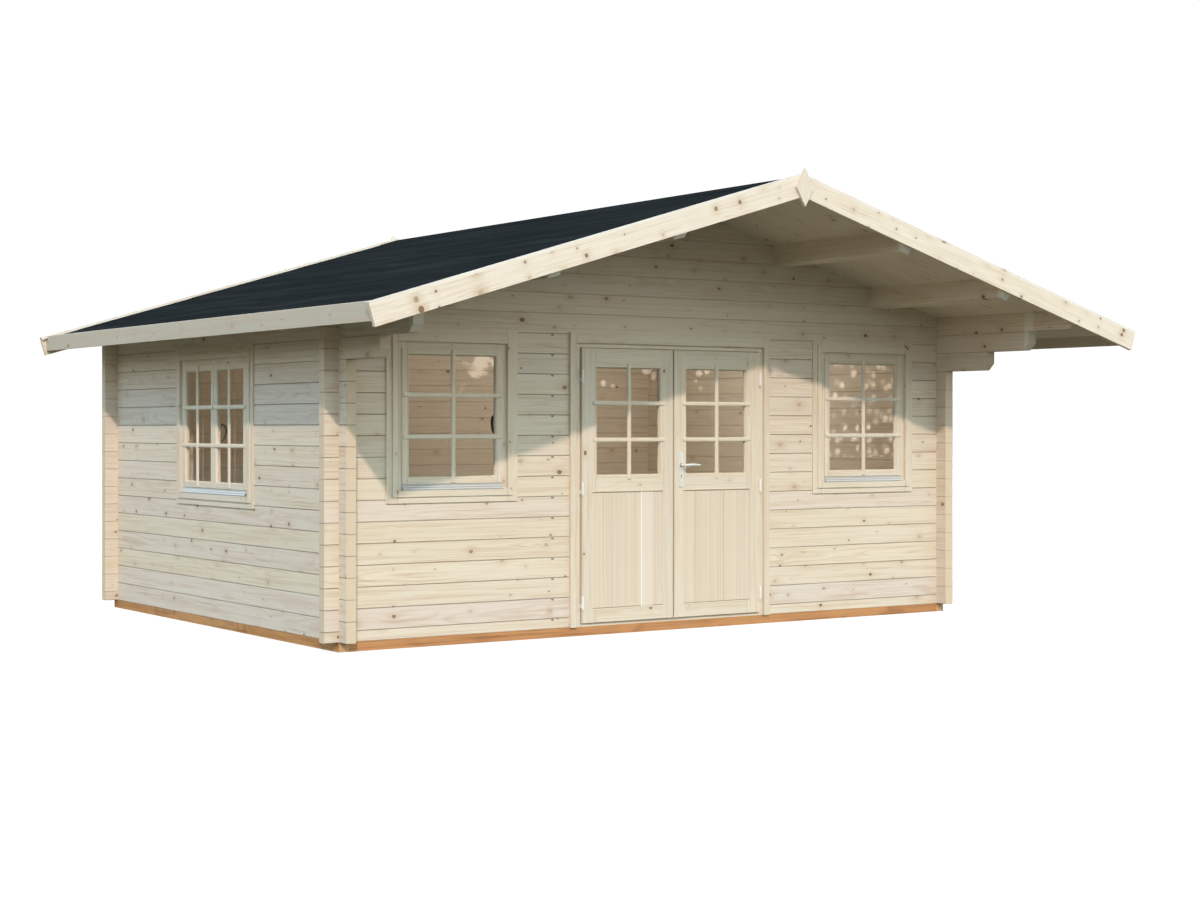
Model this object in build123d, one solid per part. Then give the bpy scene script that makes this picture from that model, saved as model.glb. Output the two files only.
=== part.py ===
"""Log cabin with a deep front canopy, a double door and three windows.

Millimetres, +Z up. The ridge lies over X = 0 and runs along Y; the front faces -Y.
The origin is on the ground, below the middle of the roof.
"""
from build123d import *
import math
import os

os.makedirs("parts", exist_ok=True)

# Log walls
LOG_HEIGHT = 135
LOG_THICKNESS = 70
LOG_EDGE = 4
LOG_END = 100
WIDTH = 5100
DEPTH = 3840
SIDE_WALL_HEIGHT = 1890

# Ground frame and floor
FOUNDATION_HEIGHT = 60
JOIST_WIDTH = 45
JOIST_COUNT = 5
FLOOR_THICKNESS = 26
FLOOR_EDGE_GAP = 6

# Canopy logs and purlins
FRONT_OVERHANG = 1415
REAR_OVERHANG = 185
LOWER_CORBEL_REACH = 540
UPPER_CORBEL_REACH = 955
LOG_NOSE = 50
PURLIN_THICKNESS = 70
PURLIN_DEPTH = 137
INNER_PURLIN_X = 889.95
OUTER_PURLIN_X = 1800.3
EAVE_PURLIN_HEIGHT = 115

# Roof
ROOF_RISE = 0.298
BOARD_THICKNESS = 18
FELT_THICKNESS = 3
EAVE_OVERHANG = 466
FASCIA_THICKNESS = 19
FASCIA_DROP = 92
FASCIA_LIP = 16
BARGE_OVERHANG = 525
BARGE_DEPTH = 123
BARGE_THICKNESS = 28
CAP_WIDTH = 55
CAP_THICKNESS = 18
FINIAL_HALF_WIDTH = 71
FINIAL_HALF_HEIGHT = 122
FINIAL_THICKNESS = 20
FINIAL_RISE = 32

# Trim shared by the windows and the door
TRIM_THICKNESS = 22
GLASS_THICKNESS = 4
GLASS_BITE = 8
FITTING_GAP = 5

# Windows
FRONT_WINDOW_FROM_CORNER = 810
FRONT_WINDOW_BOTTOM = 937.5
FRONT_SASH_WIDTH = 738
SIDE_WINDOW_OFFSET = -10
SIDE_WINDOW_BOTTOM = 870
SIDE_SASH_WIDTH = 1092
WINDOW_FRAME_HEIGHT = 1012.5
WINDOW_FRAME_SIDE = 51
WINDOW_FRAME_TOP = 50
WINDOW_FRAME_BOTTOM = 98.5
SASH_PROUD = 8
SASH_THICKNESS = 36
SASH_STILE = 38
SASH_RAIL = 32
SASH_JOINT = 4
GLASS_RECESS = 14
SETTLING_GAP = 15
WINDOW_TRIM_SIDE_LAP = 15
WINDOW_TRIM_TOP_LAP = 10
WINDOW_TRIM_BOTTOM_LAP = 58
WINDOW_TRIM_SIDE = 78
WINDOW_TRIM_BOTTOM = 81
WINDOW_TRIM_TOP = 90
TRIM_EDGE_WIDTH = 40
TRIM_EDGE_THICKNESS = 12
SILL_PROJECTION = 24
SILL_HEIGHT = 40
SILL_SHEET = 3

# Double door
LEAF_WIDTH = 748
LEAF_HEIGHT = 1840
LEAF_THICKNESS = 42
LEAF_PROUD = 20
LEAF_GAP = 5
MEETING_GAP = 10
THRESHOLD_HEIGHT = 20
JAMB_THICKNESS = 45
JAMB_SHOW = 40
HEAD_SHOW = 30
STOP_THICKNESS = 12
DOOR_TRIM_WIDTH = 48
DOOR_TRIM_TOP = 70
HINGE_STILE = 109
MEETING_STILE = 97
LEAF_GLASS_BOTTOM = 978
LEAF_GLASS_HEIGHT = 743
PANEL_HINGE_STILE = 78
PANEL_MEETING_STILE = 77
PANEL_BOTTOM = 85
PANEL_HEIGHT = 795
PANEL_RECESS = 8
LEAF_GLASS_RECESS = 16
COVER_STRIP_WIDTH = 22
COVER_STRIP_THICKNESS = 8
COVER_STRIP_REACH = 2

# Door furniture
KNUCKLE_RADIUS = 7.5
KNUCKLE_LENGTH = 42
KNUCKLE_GAP = 0.5
KNUCKLE_TIP = 4
HINGE_STAND_OFF = 9
HINGE_NECK = 4
HINGE_HEIGHTS = (136, 898, 1653)
HANDLE_FROM_EDGE = 58
HANDLE_HEIGHT = 1049
PLATE_HEIGHT = 247
PLATE_WIDTH = 36
PLATE_THICKNESS = 8
PLATE_BELOW = 154
SPINDLE_RADIUS = 4.5
SPINDLE_PLAY = 0.5
SPINDLE_WAY_RADIUS = 8
LEVER_NECK_RADIUS = 8
LEVER_STAND_OFF = 46
LEVER_LENGTH = 150
LEVER_RADIUS = 8
LEVER_PLAY = 0.3

# Places that follow from the sizes above
HALF_WIDTH = WIDTH / 2
INNER_X = HALF_WIDTH - LOG_THICKNESS
FRONT_Y = FRONT_OVERHANG - (DEPTH + FRONT_OVERHANG + REAR_OVERHANG) / 2
REAR_Y = FRONT_Y + DEPTH
FRONT_BARGE_Y = FRONT_Y - FRONT_OVERHANG
REAR_BARGE_Y = REAR_Y + REAR_OVERHANG
FRONT_ROOF_Y = FRONT_BARGE_Y + BARGE_THICKNESS
REAR_ROOF_Y = REAR_BARGE_Y - BARGE_THICKNESS
SIDE_COURSES = round(SIDE_WALL_HEIGHT / LOG_HEIGHT)
FRONT_WINDOW_X = HALF_WIDTH - FRONT_WINDOW_FROM_CORNER
SIDE_WINDOW_Y = (FRONT_Y + REAR_Y) / 2 + SIDE_WINDOW_OFFSET
RIDGE_UNDERSIDE = (SIDE_COURSES + 1) * LOG_HEIGHT + EAVE_PURLIN_HEIGHT + ROOF_RISE * HALF_WIDTH
EAVE_BOARD_X = HALF_WIDTH + EAVE_OVERHANG
BARGE_END_X = HALF_WIDTH + BARGE_OVERHANG
SLOPE = math.atan(ROOF_RISE)
SLOPE_COS = math.cos(SLOPE)
SLOPE_SIN = math.sin(SLOPE)
FASCIA_X = EAVE_BOARD_X + FASCIA_THICKNESS
LEAF_BOTTOM = FOUNDATION_HEIGHT + THRESHOLD_HEIGHT + LEAF_GAP
LEAF_OUTER_X = MEETING_GAP / 2 + LEAF_WIDTH
LEAF_Y = FRONT_Y - LEAF_PROUD
HEAD_UNDERSIDE = LEAF_BOTTOM + LEAF_HEIGHT + LEAF_GAP
DOOR_HEAD_COURSE = math.ceil((HEAD_UNDERSIDE + JAMB_THICKNESS - FOUNDATION_HEIGHT) / LOG_HEIGHT - 0.5) + 0.5
HINGE_X = LEAF_OUTER_X + LEAF_GAP / 2
HINGE_Y = LEAF_Y - HINGE_STAND_OFF


def course(number):
    """Height of a log joint, counted in logs from the foot of the wall."""
    return FOUNDATION_HEIGHT + number * LOG_HEIGHT


def roof_under(x):
    """Height of the roof boards' underside at a distance from the ridge plane."""
    return FOUNDATION_HEIGHT + RIDGE_UNDERSIDE - ROOF_RISE * abs(x)


def boards_top(x):
    """Height of the roof boards' top face at a distance from the ridge plane."""
    return roof_under(x) + BOARD_THICKNESS / SLOPE_COS


def felt_top(x):
    """Height of the felt's top face at a distance from the ridge plane."""
    return boards_top(x) + FELT_THICKNESS / SLOPE_COS


def block(x0, x1, y0, y1, z0, z1):
    """Upright box between two corners."""
    centre = Pos((x0 + x1) / 2, (y0 + y1) / 2, (z0 + z1) / 2)
    return centre * Box(x1 - x0, y1 - y0, z1 - z0)


def prism_along_x(outline, x0, x1):
    """Solid with a (y, z) outline, carried from x0 to x1."""
    face = make_face(Polyline(*[(x0, y, z) for y, z in outline], close=True))
    return extrude(face, amount=x1 - x0, dir=(1, 0, 0))


def prism_along_y(outline, y0, y1):
    """Solid with an (x, z) outline, carried from y0 to y1."""
    face = make_face(Polyline(*[(x, y0, z) for x, z in outline], close=True))
    return extrude(face, amount=y1 - y0, dir=(0, 1, 0))


def rod(start, end, radius):
    """Round bar from one point to another."""
    path = Vector(*end) - Vector(*start)
    return Plane(origin=start, z_dir=path) * Pos(0, 0, path.length / 2) * Cylinder(radius, path.length)


def log_stack(face, joints):
    """Section of stacked logs, (depth, z), with every long edge chamfered.

    face is the coordinate of the outer face, and the logs reach inwards from it.
    """
    back = face + LOG_THICKNESS
    front_line, back_line = [], []
    for low, high in zip(joints, joints[1:]):
        steps = [(LOG_EDGE, low), (0, low + LOG_EDGE), (0, high - LOG_EDGE), (LOG_EDGE, high)]
        if front_line:
            steps = steps[1:]
        front_line += [(face + inset, z) for inset, z in steps]
        back_line += [(back - inset, z) for inset, z in steps]
    return front_line + back_line[::-1]


def courses(first, last):
    """Joint heights from one course to another, one log apart, ends included."""
    whole = [first]
    if first == 0 and last != int(last):
        whole.append(0.5)
    while whole[-1] + 1 <= last:
        whole.append(whole[-1] + 1)
    return [course(number) for number in whole]


def corner_blocks(levels):
    """Space where two walls cross, half a log high, centred on each level."""
    quarter = LOG_HEIGHT / 4
    blocks = []
    for x0 in (-HALF_WIDTH, INNER_X):
        for y0 in (FRONT_Y, REAR_Y - LOG_THICKNESS):
            for level in levels:
                low = max(course(level) - quarter, course(0) - 1)
                blocks.append(block(x0, x0 + LOG_THICKNESS, y0, y0 + LOG_THICKNESS,
                                    low, course(level) + quarter))
    return blocks


SIDE_LOG_LEVELS = [k + 0.5 for k in range(SIDE_COURSES + 1)]
CROSS_LOG_LEVELS = [k for k in range(SIDE_COURSES + 2)]


def nose_cut(x0, x1, y_tip, z_bottom):
    """Wedge that bevels the lower edge of a log's front end."""
    outline = [(y_tip - 1, z_bottom - 1), (y_tip - 1, z_bottom + LOG_NOSE + 1),
               (y_tip + LOG_NOSE + 1, z_bottom - 1)]
    return prism_along_x(outline, x0 - 1, x1 + 1)


def above(height, y0, y1):
    """Everything above a height function of X, from y0 to y1."""
    far = BARGE_END_X
    top = height(0) + 500
    outline = [(-far, height(far)), (0, height(0)), (far, height(far)), (far, top), (-far, top)]
    return prism_along_y(outline, y0, y1)


def frame_ring(half_outer, half_inner, z_outer, z_inner, y0, y1):
    """Rectangular ring standing in the XZ plane."""
    ring = block(-half_outer, half_outer, y0, y1, *z_outer)
    return ring - block(-half_inner, half_inner, y0 - 1, y1 + 1, *z_inner)


def purlin_outline(x_near):
    """Leaning section of a purlin right of the ridge: plumb sides, top and bottom along the slope."""
    x_far = x_near + PURLIN_THICKNESS
    return [(x_near, roof_under(x_near) - PURLIN_DEPTH), (x_far, roof_under(x_far) - PURLIN_DEPTH),
            (x_far, roof_under(x_far)), (x_near, roof_under(x_near))]


def mirrored(outline):
    """The same (x, z) outline on the left of the ridge."""
    return [(-x, z) for x, z in outline]


def purlins(sign):
    """Two purlins on one slope, from the front barge board to the rear one, with bevelled noses."""
    bars = []
    for x_near in (INNER_PURLIN_X, OUTER_PURLIN_X):
        outline = purlin_outline(x_near)
        low = min(z for x, z in outline)
        if sign < 0:
            outline = mirrored(outline)
        xs = [x for x, z in outline]
        bar = prism_along_y(outline, FRONT_ROOF_Y, REAR_ROOF_Y)
        bars.append(bar - nose_cut(min(xs), max(xs), FRONT_ROOF_Y, low))
    return bars


def wall_across(y_face, x0, x1, first, last):
    """Log wall along X with its outer face towards -Y side of the stack at y_face."""
    return prism_along_x(log_stack(y_face, courses(first, last)), x0, x1)


def front_wall(sign):
    """Front wall beside the door; sign -1 is left, +1 is right."""
    door_side = LEAF_OUTER_X + LEAF_GAP + JAMB_THICKNESS + FITTING_GAP
    x0, x1 = sorted((sign * door_side, sign * (HALF_WIDTH + LOG_END)))
    wall = wall_across(FRONT_Y, x0, x1, 0, DOOR_HEAD_COURSE)
    wall -= corner_blocks(SIDE_LOG_LEVELS)
    return wall - window_hole(Pos(sign * FRONT_WINDOW_X, FRONT_Y, 0), FRONT_SASH_WIDTH, FRONT_WINDOW_BOTTOM)


def gable(y_face, first, purlin_bars):
    """Log gable up to the roof boards, notched for the purlins and the crossing logs."""
    reach = HALF_WIDTH + LOG_END
    top = math.ceil((roof_under(0) - FOUNDATION_HEIGHT) / LOG_HEIGHT) + 0.5
    y0, y1 = y_face - 1, y_face + LOG_THICKNESS + 1
    wall = wall_across(y_face, -reach, reach, first, top)
    wall -= above(roof_under, y0 - 1, y1 + 1)
    ends = [block(x0, x0 + LOG_END + 1, y0, y1, course(SIDE_COURSES + 1.5), roof_under(0))
            for x0 in (-reach - 1, HALF_WIDTH)]
    seats = [block(side_x(sign), side_x(sign) + LOG_THICKNESS, y0, y1,
                   course(SIDE_COURSES + 1.25), roof_under(0)) for sign in (-1, 1)]
    return wall - ends - seats - corner_blocks(SIDE_LOG_LEVELS) - purlin_bars


def side_x(sign):
    """Lower X of the side wall's logs; sign -1 is left, +1 is right."""
    return -HALF_WIDTH if sign < 0 else INNER_X


def side_wall(sign):
    """Side wall up to the joint below the canopy logs."""
    joints = courses(0, SIDE_COURSES - 1)
    wall = prism_along_y(log_stack(side_x(sign), joints), FRONT_Y - LOG_END, REAR_Y + LOG_END)
    return wall - corner_blocks(CROSS_LOG_LEVELS)


def canopy_logs(sign):
    """Top two side logs, which step out under the canopy and carry the eave purlin."""
    x0 = side_x(sign)
    x1 = x0 + LOG_THICKNESS
    upper_tip = FRONT_Y - UPPER_CORBEL_REACH
    lower_tip = FRONT_Y - LOWER_CORBEL_REACH
    lower, upper, top = courses(SIDE_COURSES - 1, SIDE_COURSES + 1)
    logs = prism_along_y(log_stack(x0, (lower, upper, top)), upper_tip, REAR_Y + LOG_END)
    logs -= block(x0 - 1, x1 + 1, upper_tip - 1, lower_tip, lower - 1, upper)
    logs -= [nose_cut(x0, x1, upper_tip, upper), nose_cut(x0, x1, lower_tip, lower)]
    return logs - corner_blocks(CROSS_LOG_LEVELS)


def eave_purlin(sign):
    """Purlin over the side wall, its top bevelled to the roof."""
    foot = course(SIDE_COURSES + 1)
    outline = [(INNER_X + LOG_EDGE, foot), (HALF_WIDTH - LOG_EDGE, foot),
               (HALF_WIDTH, foot + LOG_EDGE), (HALF_WIDTH, roof_under(HALF_WIDTH)),
               (INNER_X, roof_under(INNER_X)), (INNER_X, foot + LOG_EDGE)]
    if sign < 0:
        outline = mirrored(outline)
    log = prism_along_y(outline, FRONT_ROOF_Y, REAR_ROOF_Y)
    xs = [x for x, z in outline]
    log -= nose_cut(min(xs), max(xs), FRONT_ROOF_Y, foot)
    return log - corner_blocks(CROSS_LOG_LEVELS)


def foundation_side_beams():
    """Treated beams below the side walls."""
    return [block(x0, x0 + LOG_THICKNESS, FRONT_Y, REAR_Y, 0, FOUNDATION_HEIGHT)
            for x0 in (-HALF_WIDTH, INNER_X)]


def foundation_cross_beams():
    """Beams below the front and rear walls, and the floor joists between them."""
    beams = [block(-INNER_X, INNER_X, y0, y0 + LOG_THICKNESS, 0, FOUNDATION_HEIGHT)
             for y0 in (FRONT_Y, REAR_Y - LOG_THICKNESS)]
    span = DEPTH - LOG_THICKNESS
    for number in range(1, JOIST_COUNT + 1):
        centre = FRONT_Y + LOG_THICKNESS / 2 + span * number / (JOIST_COUNT + 1)
        beams.append(block(-INNER_X, INNER_X, centre - JOIST_WIDTH / 2, centre + JOIST_WIDTH / 2,
                           0, FOUNDATION_HEIGHT))
    return beams


def floor_boards():
    """Built floor on the joists, inside the log walls."""
    return block(-INNER_X + FLOOR_EDGE_GAP, INNER_X - FLOOR_EDGE_GAP,
                 FRONT_Y + LOG_THICKNESS + FLOOR_EDGE_GAP, REAR_Y - LOG_THICKNESS - FLOOR_EDGE_GAP,
                 FOUNDATION_HEIGHT, FOUNDATION_HEIGHT + FLOOR_THICKNESS)


def roof_slab(sign, low, high, x_end):
    """One slope between two height functions, from the ridge to x_end."""
    outline = [(0, low(0)), (x_end, low(x_end)), (x_end, high(x_end)), (0, high(0))]
    if sign < 0:
        outline = mirrored(outline)
    return prism_along_y(outline, FRONT_ROOF_Y, REAR_ROOF_Y)


def barge_board(sign, y0):
    """Sloping board on the verge, plumb at the ridge and square at its lower end."""
    outline = [(0, felt_top(0) - BARGE_DEPTH / SLOPE_COS),
               (BARGE_END_X - BARGE_DEPTH * SLOPE_SIN, felt_top(BARGE_END_X) - BARGE_DEPTH * SLOPE_COS),
               (BARGE_END_X, felt_top(BARGE_END_X)), (0, felt_top(0))]
    if sign < 0:
        outline = mirrored(outline)
    return prism_along_y(outline, y0, y0 + BARGE_THICKNESS)


def verge_cap(sign, y0):
    """Strip over a barge board's top edge and the felt's edge."""
    foot = (BARGE_END_X, felt_top(BARGE_END_X))
    end_top = (foot[0] + CAP_THICKNESS * SLOPE_SIN, foot[1] + CAP_THICKNESS * SLOPE_COS)
    outline = [(0, felt_top(0)), foot, end_top, (0, felt_top(0) + CAP_THICKNESS / SLOPE_COS)]
    if sign < 0:
        outline = mirrored(outline)
    return prism_along_y(outline, y0, y0 + CAP_WIDTH)


def eave_fascia(sign):
    """Board on the roof boards' lower ends, standing above the felt between the verge caps."""
    bottom = boards_top(FASCIA_X) - FASCIA_DROP
    outline = [(EAVE_BOARD_X, bottom), (FASCIA_X, bottom),
               (FASCIA_X, felt_top(FASCIA_X) + FASCIA_LIP),
               (EAVE_BOARD_X, felt_top(EAVE_BOARD_X) + FASCIA_LIP)]
    if sign < 0:
        outline = mirrored(outline)
    board = prism_along_y(outline, FRONT_ROOF_Y, REAR_ROOF_Y)
    board -= above(felt_top, FRONT_ROOF_Y - 1, FRONT_BARGE_Y + CAP_WIDTH)
    return board - above(felt_top, REAR_BARGE_Y - CAP_WIDTH, REAR_ROOF_Y + 1)


def finial(y0):
    """Diamond board over the joint of two barge boards."""
    tip = felt_top(0) + CAP_THICKNESS / SLOPE_COS + FINIAL_RISE
    middle = tip - FINIAL_HALF_HEIGHT
    outline = [(0, middle - FINIAL_HALF_HEIGHT), (FINIAL_HALF_WIDTH, middle), (0, tip),
               (-FINIAL_HALF_WIDTH, middle)]
    return prism_along_y(outline, y0, y0 + FINIAL_THICKNESS)


def window_hole(place, sash_width, bottom):
    """Hole through a wall for a window frame, with a settling gap above it."""
    half = sash_width / 2 + WINDOW_FRAME_SIDE + FITTING_GAP
    return place * block(-half, half, -1, LOG_THICKNESS + 1, bottom,
                         bottom + WINDOW_FRAME_HEIGHT + SETTLING_GAP)


def sash_lights(sash_width, count):
    """Clear glass openings of a window: (x0, x1) of each sash."""
    each = sash_width / count
    return [(-sash_width / 2 + number * each + SASH_STILE, -sash_width / 2 + (number + 1) * each - SASH_STILE)
            for number in range(count)]


def window_parts(place, sash_width, bottom, sashes):
    """Frame with its sashes, glass, stepped trim outside, plain trim inside, and drip sill of one window.

    Built with the outer wall face on y = 0 and then placed.
    """
    top = bottom + WINDOW_FRAME_HEIGHT
    sash_z = (bottom + WINDOW_FRAME_BOTTOM, top - WINDOW_FRAME_TOP)
    half_sash = sash_width / 2
    half_frame = half_sash + WINDOW_FRAME_SIDE
    frame = block(-half_frame, half_frame, 0, LOG_THICKNESS, bottom, top)
    frame -= block(-half_sash, half_sash, SASH_THICKNESS - SASH_PROUD, LOG_THICKNESS + 1, *sash_z)
    frame += block(-half_sash, half_sash, -SASH_PROUD, 1, *sash_z)
    for number in range(1, sashes):
        joint_x = -half_sash + number * sash_width / sashes
        frame -= block(joint_x - SASH_JOINT / 2, joint_x + SASH_JOINT / 2, -SASH_PROUD - 1, 0, *sash_z)
    light_z = (sash_z[0] + SASH_RAIL, sash_z[1] - SASH_RAIL)
    glass_y = GLASS_RECESS - SASH_PROUD
    panes = []
    for x0, x1 in sash_lights(sash_width, sashes):
        frame -= block(x0, x1, -SASH_PROUD - 1, LOG_THICKNESS, *light_z)
        panes.append(block(x0 - GLASS_BITE, x1 + GLASS_BITE, glass_y, glass_y + GLASS_THICKNESS,
                           light_z[0] - GLASS_BITE, light_z[1] + GLASS_BITE))
    frame -= panes
    half_in = half_frame - WINDOW_TRIM_SIDE_LAP
    half_out = half_in + WINDOW_TRIM_SIDE
    trim_in = (bottom + WINDOW_TRIM_BOTTOM_LAP, top - WINDOW_TRIM_TOP_LAP)
    trim_out = (trim_in[0] - WINDOW_TRIM_BOTTOM, trim_in[1] + WINDOW_TRIM_TOP)
    raised_z = (trim_out[0] + TRIM_EDGE_WIDTH, trim_out[1] - TRIM_EDGE_WIDTH)
    outside = frame_ring(half_out, half_in, trim_out, trim_in, -TRIM_EDGE_THICKNESS, 0)
    outside += frame_ring(half_out - TRIM_EDGE_WIDTH, half_in, raised_z, trim_in, -TRIM_THICKNESS, 0)
    inside = frame_ring(half_out, half_in, trim_out, trim_in,
                        LOG_THICKNESS, LOG_THICKNESS + TRIM_EDGE_THICKNESS)
    sill_top = sash_z[0]
    lip = sill_top - SILL_HEIGHT
    sill_line = [(0, sill_top), (-SILL_PROJECTION, lip + SILL_SHEET), (-SILL_PROJECTION, lip),
                 (SILL_SHEET - SILL_PROJECTION, lip), (0, sill_top - 2 * SILL_SHEET)]
    sill = prism_along_x(sill_line, -half_sash, half_sash)
    return {"frame": place * frame, "glass": [place * pane for pane in panes],
            "trim": [place * outside, place * inside], "sill": place * sill}


def door_frame():
    """Two jambs, head and threshold round the doorway, with a stop behind the leaves."""
    inner = LEAF_OUTER_X + LEAF_GAP
    outer = inner + JAMB_THICKNESS
    head = HEAD_UNDERSIDE
    sill = FOUNDATION_HEIGHT + THRESHOLD_HEIGHT
    y0, y1 = FRONT_Y, FRONT_Y + LOG_THICKNESS
    frame = frame_ring(outer, inner, (FOUNDATION_HEIGHT, head + JAMB_THICKNESS), (sill, head), y0, y1)
    stop_y = LEAF_Y + LEAF_THICKNESS + LEAF_GAP
    lap = LEAF_GAP + STOP_THICKNESS
    stop = frame_ring(inner, inner - lap, (sill, head), (sill, head - lap), stop_y, y1)
    return frame + stop


def door_trim():
    """Trim boards round the doorway, outside and inside."""
    half_in = LEAF_OUTER_X + LEAF_GAP + JAMB_SHOW
    top_in = HEAD_UNDERSIDE + HEAD_SHOW
    boards = []
    for y0, foot in ((FRONT_Y - TRIM_THICKNESS, FOUNDATION_HEIGHT),
                     (FRONT_Y + LOG_THICKNESS, FOUNDATION_HEIGHT + FLOOR_THICKNESS)):
        boards.append(frame_ring(half_in + DOOR_TRIM_WIDTH, half_in, (foot, top_in + DOOR_TRIM_TOP),
                                 (foot - 1, top_in), y0, y0 + TRIM_THICKNESS))
    return boards


def leaf_parts(sign):
    """One leaf: stiles and rails, recessed lower panel, and its glass."""
    def span(hinge_stile, meeting_stile):
        near = MEETING_GAP / 2 + meeting_stile
        far = LEAF_OUTER_X - hinge_stile
        return sorted((sign * near, sign * far))

    edge_x = sorted((sign * MEETING_GAP / 2, sign * LEAF_OUTER_X))
    y0, y1 = LEAF_Y, LEAF_Y + LEAF_THICKNESS
    leaf = block(*edge_x, y0, y1, LEAF_BOTTOM, LEAF_BOTTOM + LEAF_HEIGHT)
    light_x = span(HINGE_STILE, MEETING_STILE)
    light_z = (LEAF_BOTTOM + LEAF_GLASS_BOTTOM, LEAF_BOTTOM + LEAF_GLASS_BOTTOM + LEAF_GLASS_HEIGHT)
    leaf -= block(*light_x, y0 - 1, y1 + 1, *light_z)
    panel_x = span(PANEL_HINGE_STILE, PANEL_MEETING_STILE)
    panel_z = (LEAF_BOTTOM + PANEL_BOTTOM, LEAF_BOTTOM + PANEL_BOTTOM + PANEL_HEIGHT)
    leaf -= block(*panel_x, y0 - 1, y0 + PANEL_RECESS, *panel_z)
    leaf -= block(*panel_x, y1 - PANEL_RECESS, y1 + 1, *panel_z)
    glass_y = y0 + LEAF_GLASS_RECESS
    glass = block(light_x[0] - GLASS_BITE, light_x[1] + GLASS_BITE, glass_y, glass_y + GLASS_THICKNESS,
                  light_z[0] - GLASS_BITE, light_z[1] + GLASS_BITE)
    leaf -= glass
    if sign > 0:
        strip_x = MEETING_GAP / 2 - COVER_STRIP_REACH
        leaf += block(strip_x, strip_x + COVER_STRIP_WIDTH, y0 - COVER_STRIP_THICKNESS, y0,
                      LEAF_BOTTOM, LEAF_BOTTOM + LEAF_HEIGHT)
        x, z = handle_place()
        leaf -= rod((x, y0 - 1, z), (x, y1 + 1, z), SPINDLE_WAY_RADIUS)
    return leaf, glass


def knuckle(x, z_low, neck_side, tip_up, wood_y):
    """Half of a barrel hinge: a tipped barrel with a neck to the wood face at wood_y behind it."""
    barrel = rod((x, HINGE_Y, z_low), (x, HINGE_Y, z_low + KNUCKLE_LENGTH), KNUCKLE_RADIUS)
    tip_z = z_low + KNUCKLE_LENGTH if tip_up else z_low
    tip_to = tip_z + (KNUCKLE_TIP if tip_up else -KNUCKLE_TIP)
    barrel += rod((x, HINGE_Y, tip_z), (x, HINGE_Y, tip_to), KNUCKLE_RADIUS * 0.6)
    near = x + neck_side * (LEAF_GAP / 2 + 0.5)
    neck_x = sorted((near, near + neck_side * HINGE_NECK))
    neck = block(*neck_x, HINGE_Y, wood_y, z_low + 8, z_low + KNUCKLE_LENGTH - 8)
    return barrel + neck


def hinges():
    """Leaf knuckles on top, frame knuckles below, on both sides of the doorway."""
    leaf_side = {-1: [], 1: []}
    frame_side = []
    for sign in (-1, 1):
        for height in HINGE_HEIGHTS:
            middle = LEAF_BOTTOM + height
            leaf_side[sign].append(knuckle(sign * HINGE_X, middle + KNUCKLE_GAP / 2, -sign, True, LEAF_Y))
            low = middle - KNUCKLE_GAP / 2 - KNUCKLE_LENGTH
            frame_side.append(knuckle(sign * HINGE_X, low, sign, False, FRONT_Y))
    return leaf_side, frame_side


def handle_place():
    """Spindle centre (x, z) on the right leaf."""
    return MEETING_GAP / 2 + HANDLE_FROM_EDGE, LEAF_BOTTOM + HANDLE_HEIGHT


def handle_plates():
    """Long plates with round ends on both faces of the right leaf."""
    x, z = handle_place()
    low = z - PLATE_BELOW
    half = PLATE_WIDTH / 2
    plates = []
    for y0, y1 in ((LEAF_Y - PLATE_THICKNESS, LEAF_Y),
                   (LEAF_Y + LEAF_THICKNESS, LEAF_Y + LEAF_THICKNESS + PLATE_THICKNESS)):
        plate = block(x - half, x + half, y0, y1, low + half, low + PLATE_HEIGHT - half)
        for end_z in (low + half, low + PLATE_HEIGHT - half):
            plate += rod((x, y0, end_z), (x, y1, end_z), half)
        plates.append(plate - rod((x, y0 - 1, z), (x, y1 + 1, z), SPINDLE_RADIUS + SPINDLE_PLAY))
    return plates


def door_lever():
    """Two levers on one spindle through the right leaf."""
    x, z = handle_place()
    out_y = LEAF_Y - PLATE_THICKNESS
    in_y = LEAF_Y + LEAF_THICKNESS + PLATE_THICKNESS
    lever = rod((x, out_y - LEVER_STAND_OFF, z), (x, in_y + LEVER_STAND_OFF, z), SPINDLE_RADIUS)
    for face, away in ((out_y, -1), (in_y, 1)):
        near = face + away * LEVER_PLAY
        grip_y = face + away * LEVER_STAND_OFF
        lever += rod((x, near, z), (x, grip_y, z), LEVER_NECK_RADIUS)
        lever += Pos(x, grip_y, z) * Sphere(LEVER_RADIUS)
        lever += rod((x, grip_y, z), (x + LEVER_LENGTH, grip_y, z), LEVER_RADIUS)
        lever += Pos(x + LEVER_LENGTH, grip_y, z) * Sphere(LEVER_RADIUS)
    return lever


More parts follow.
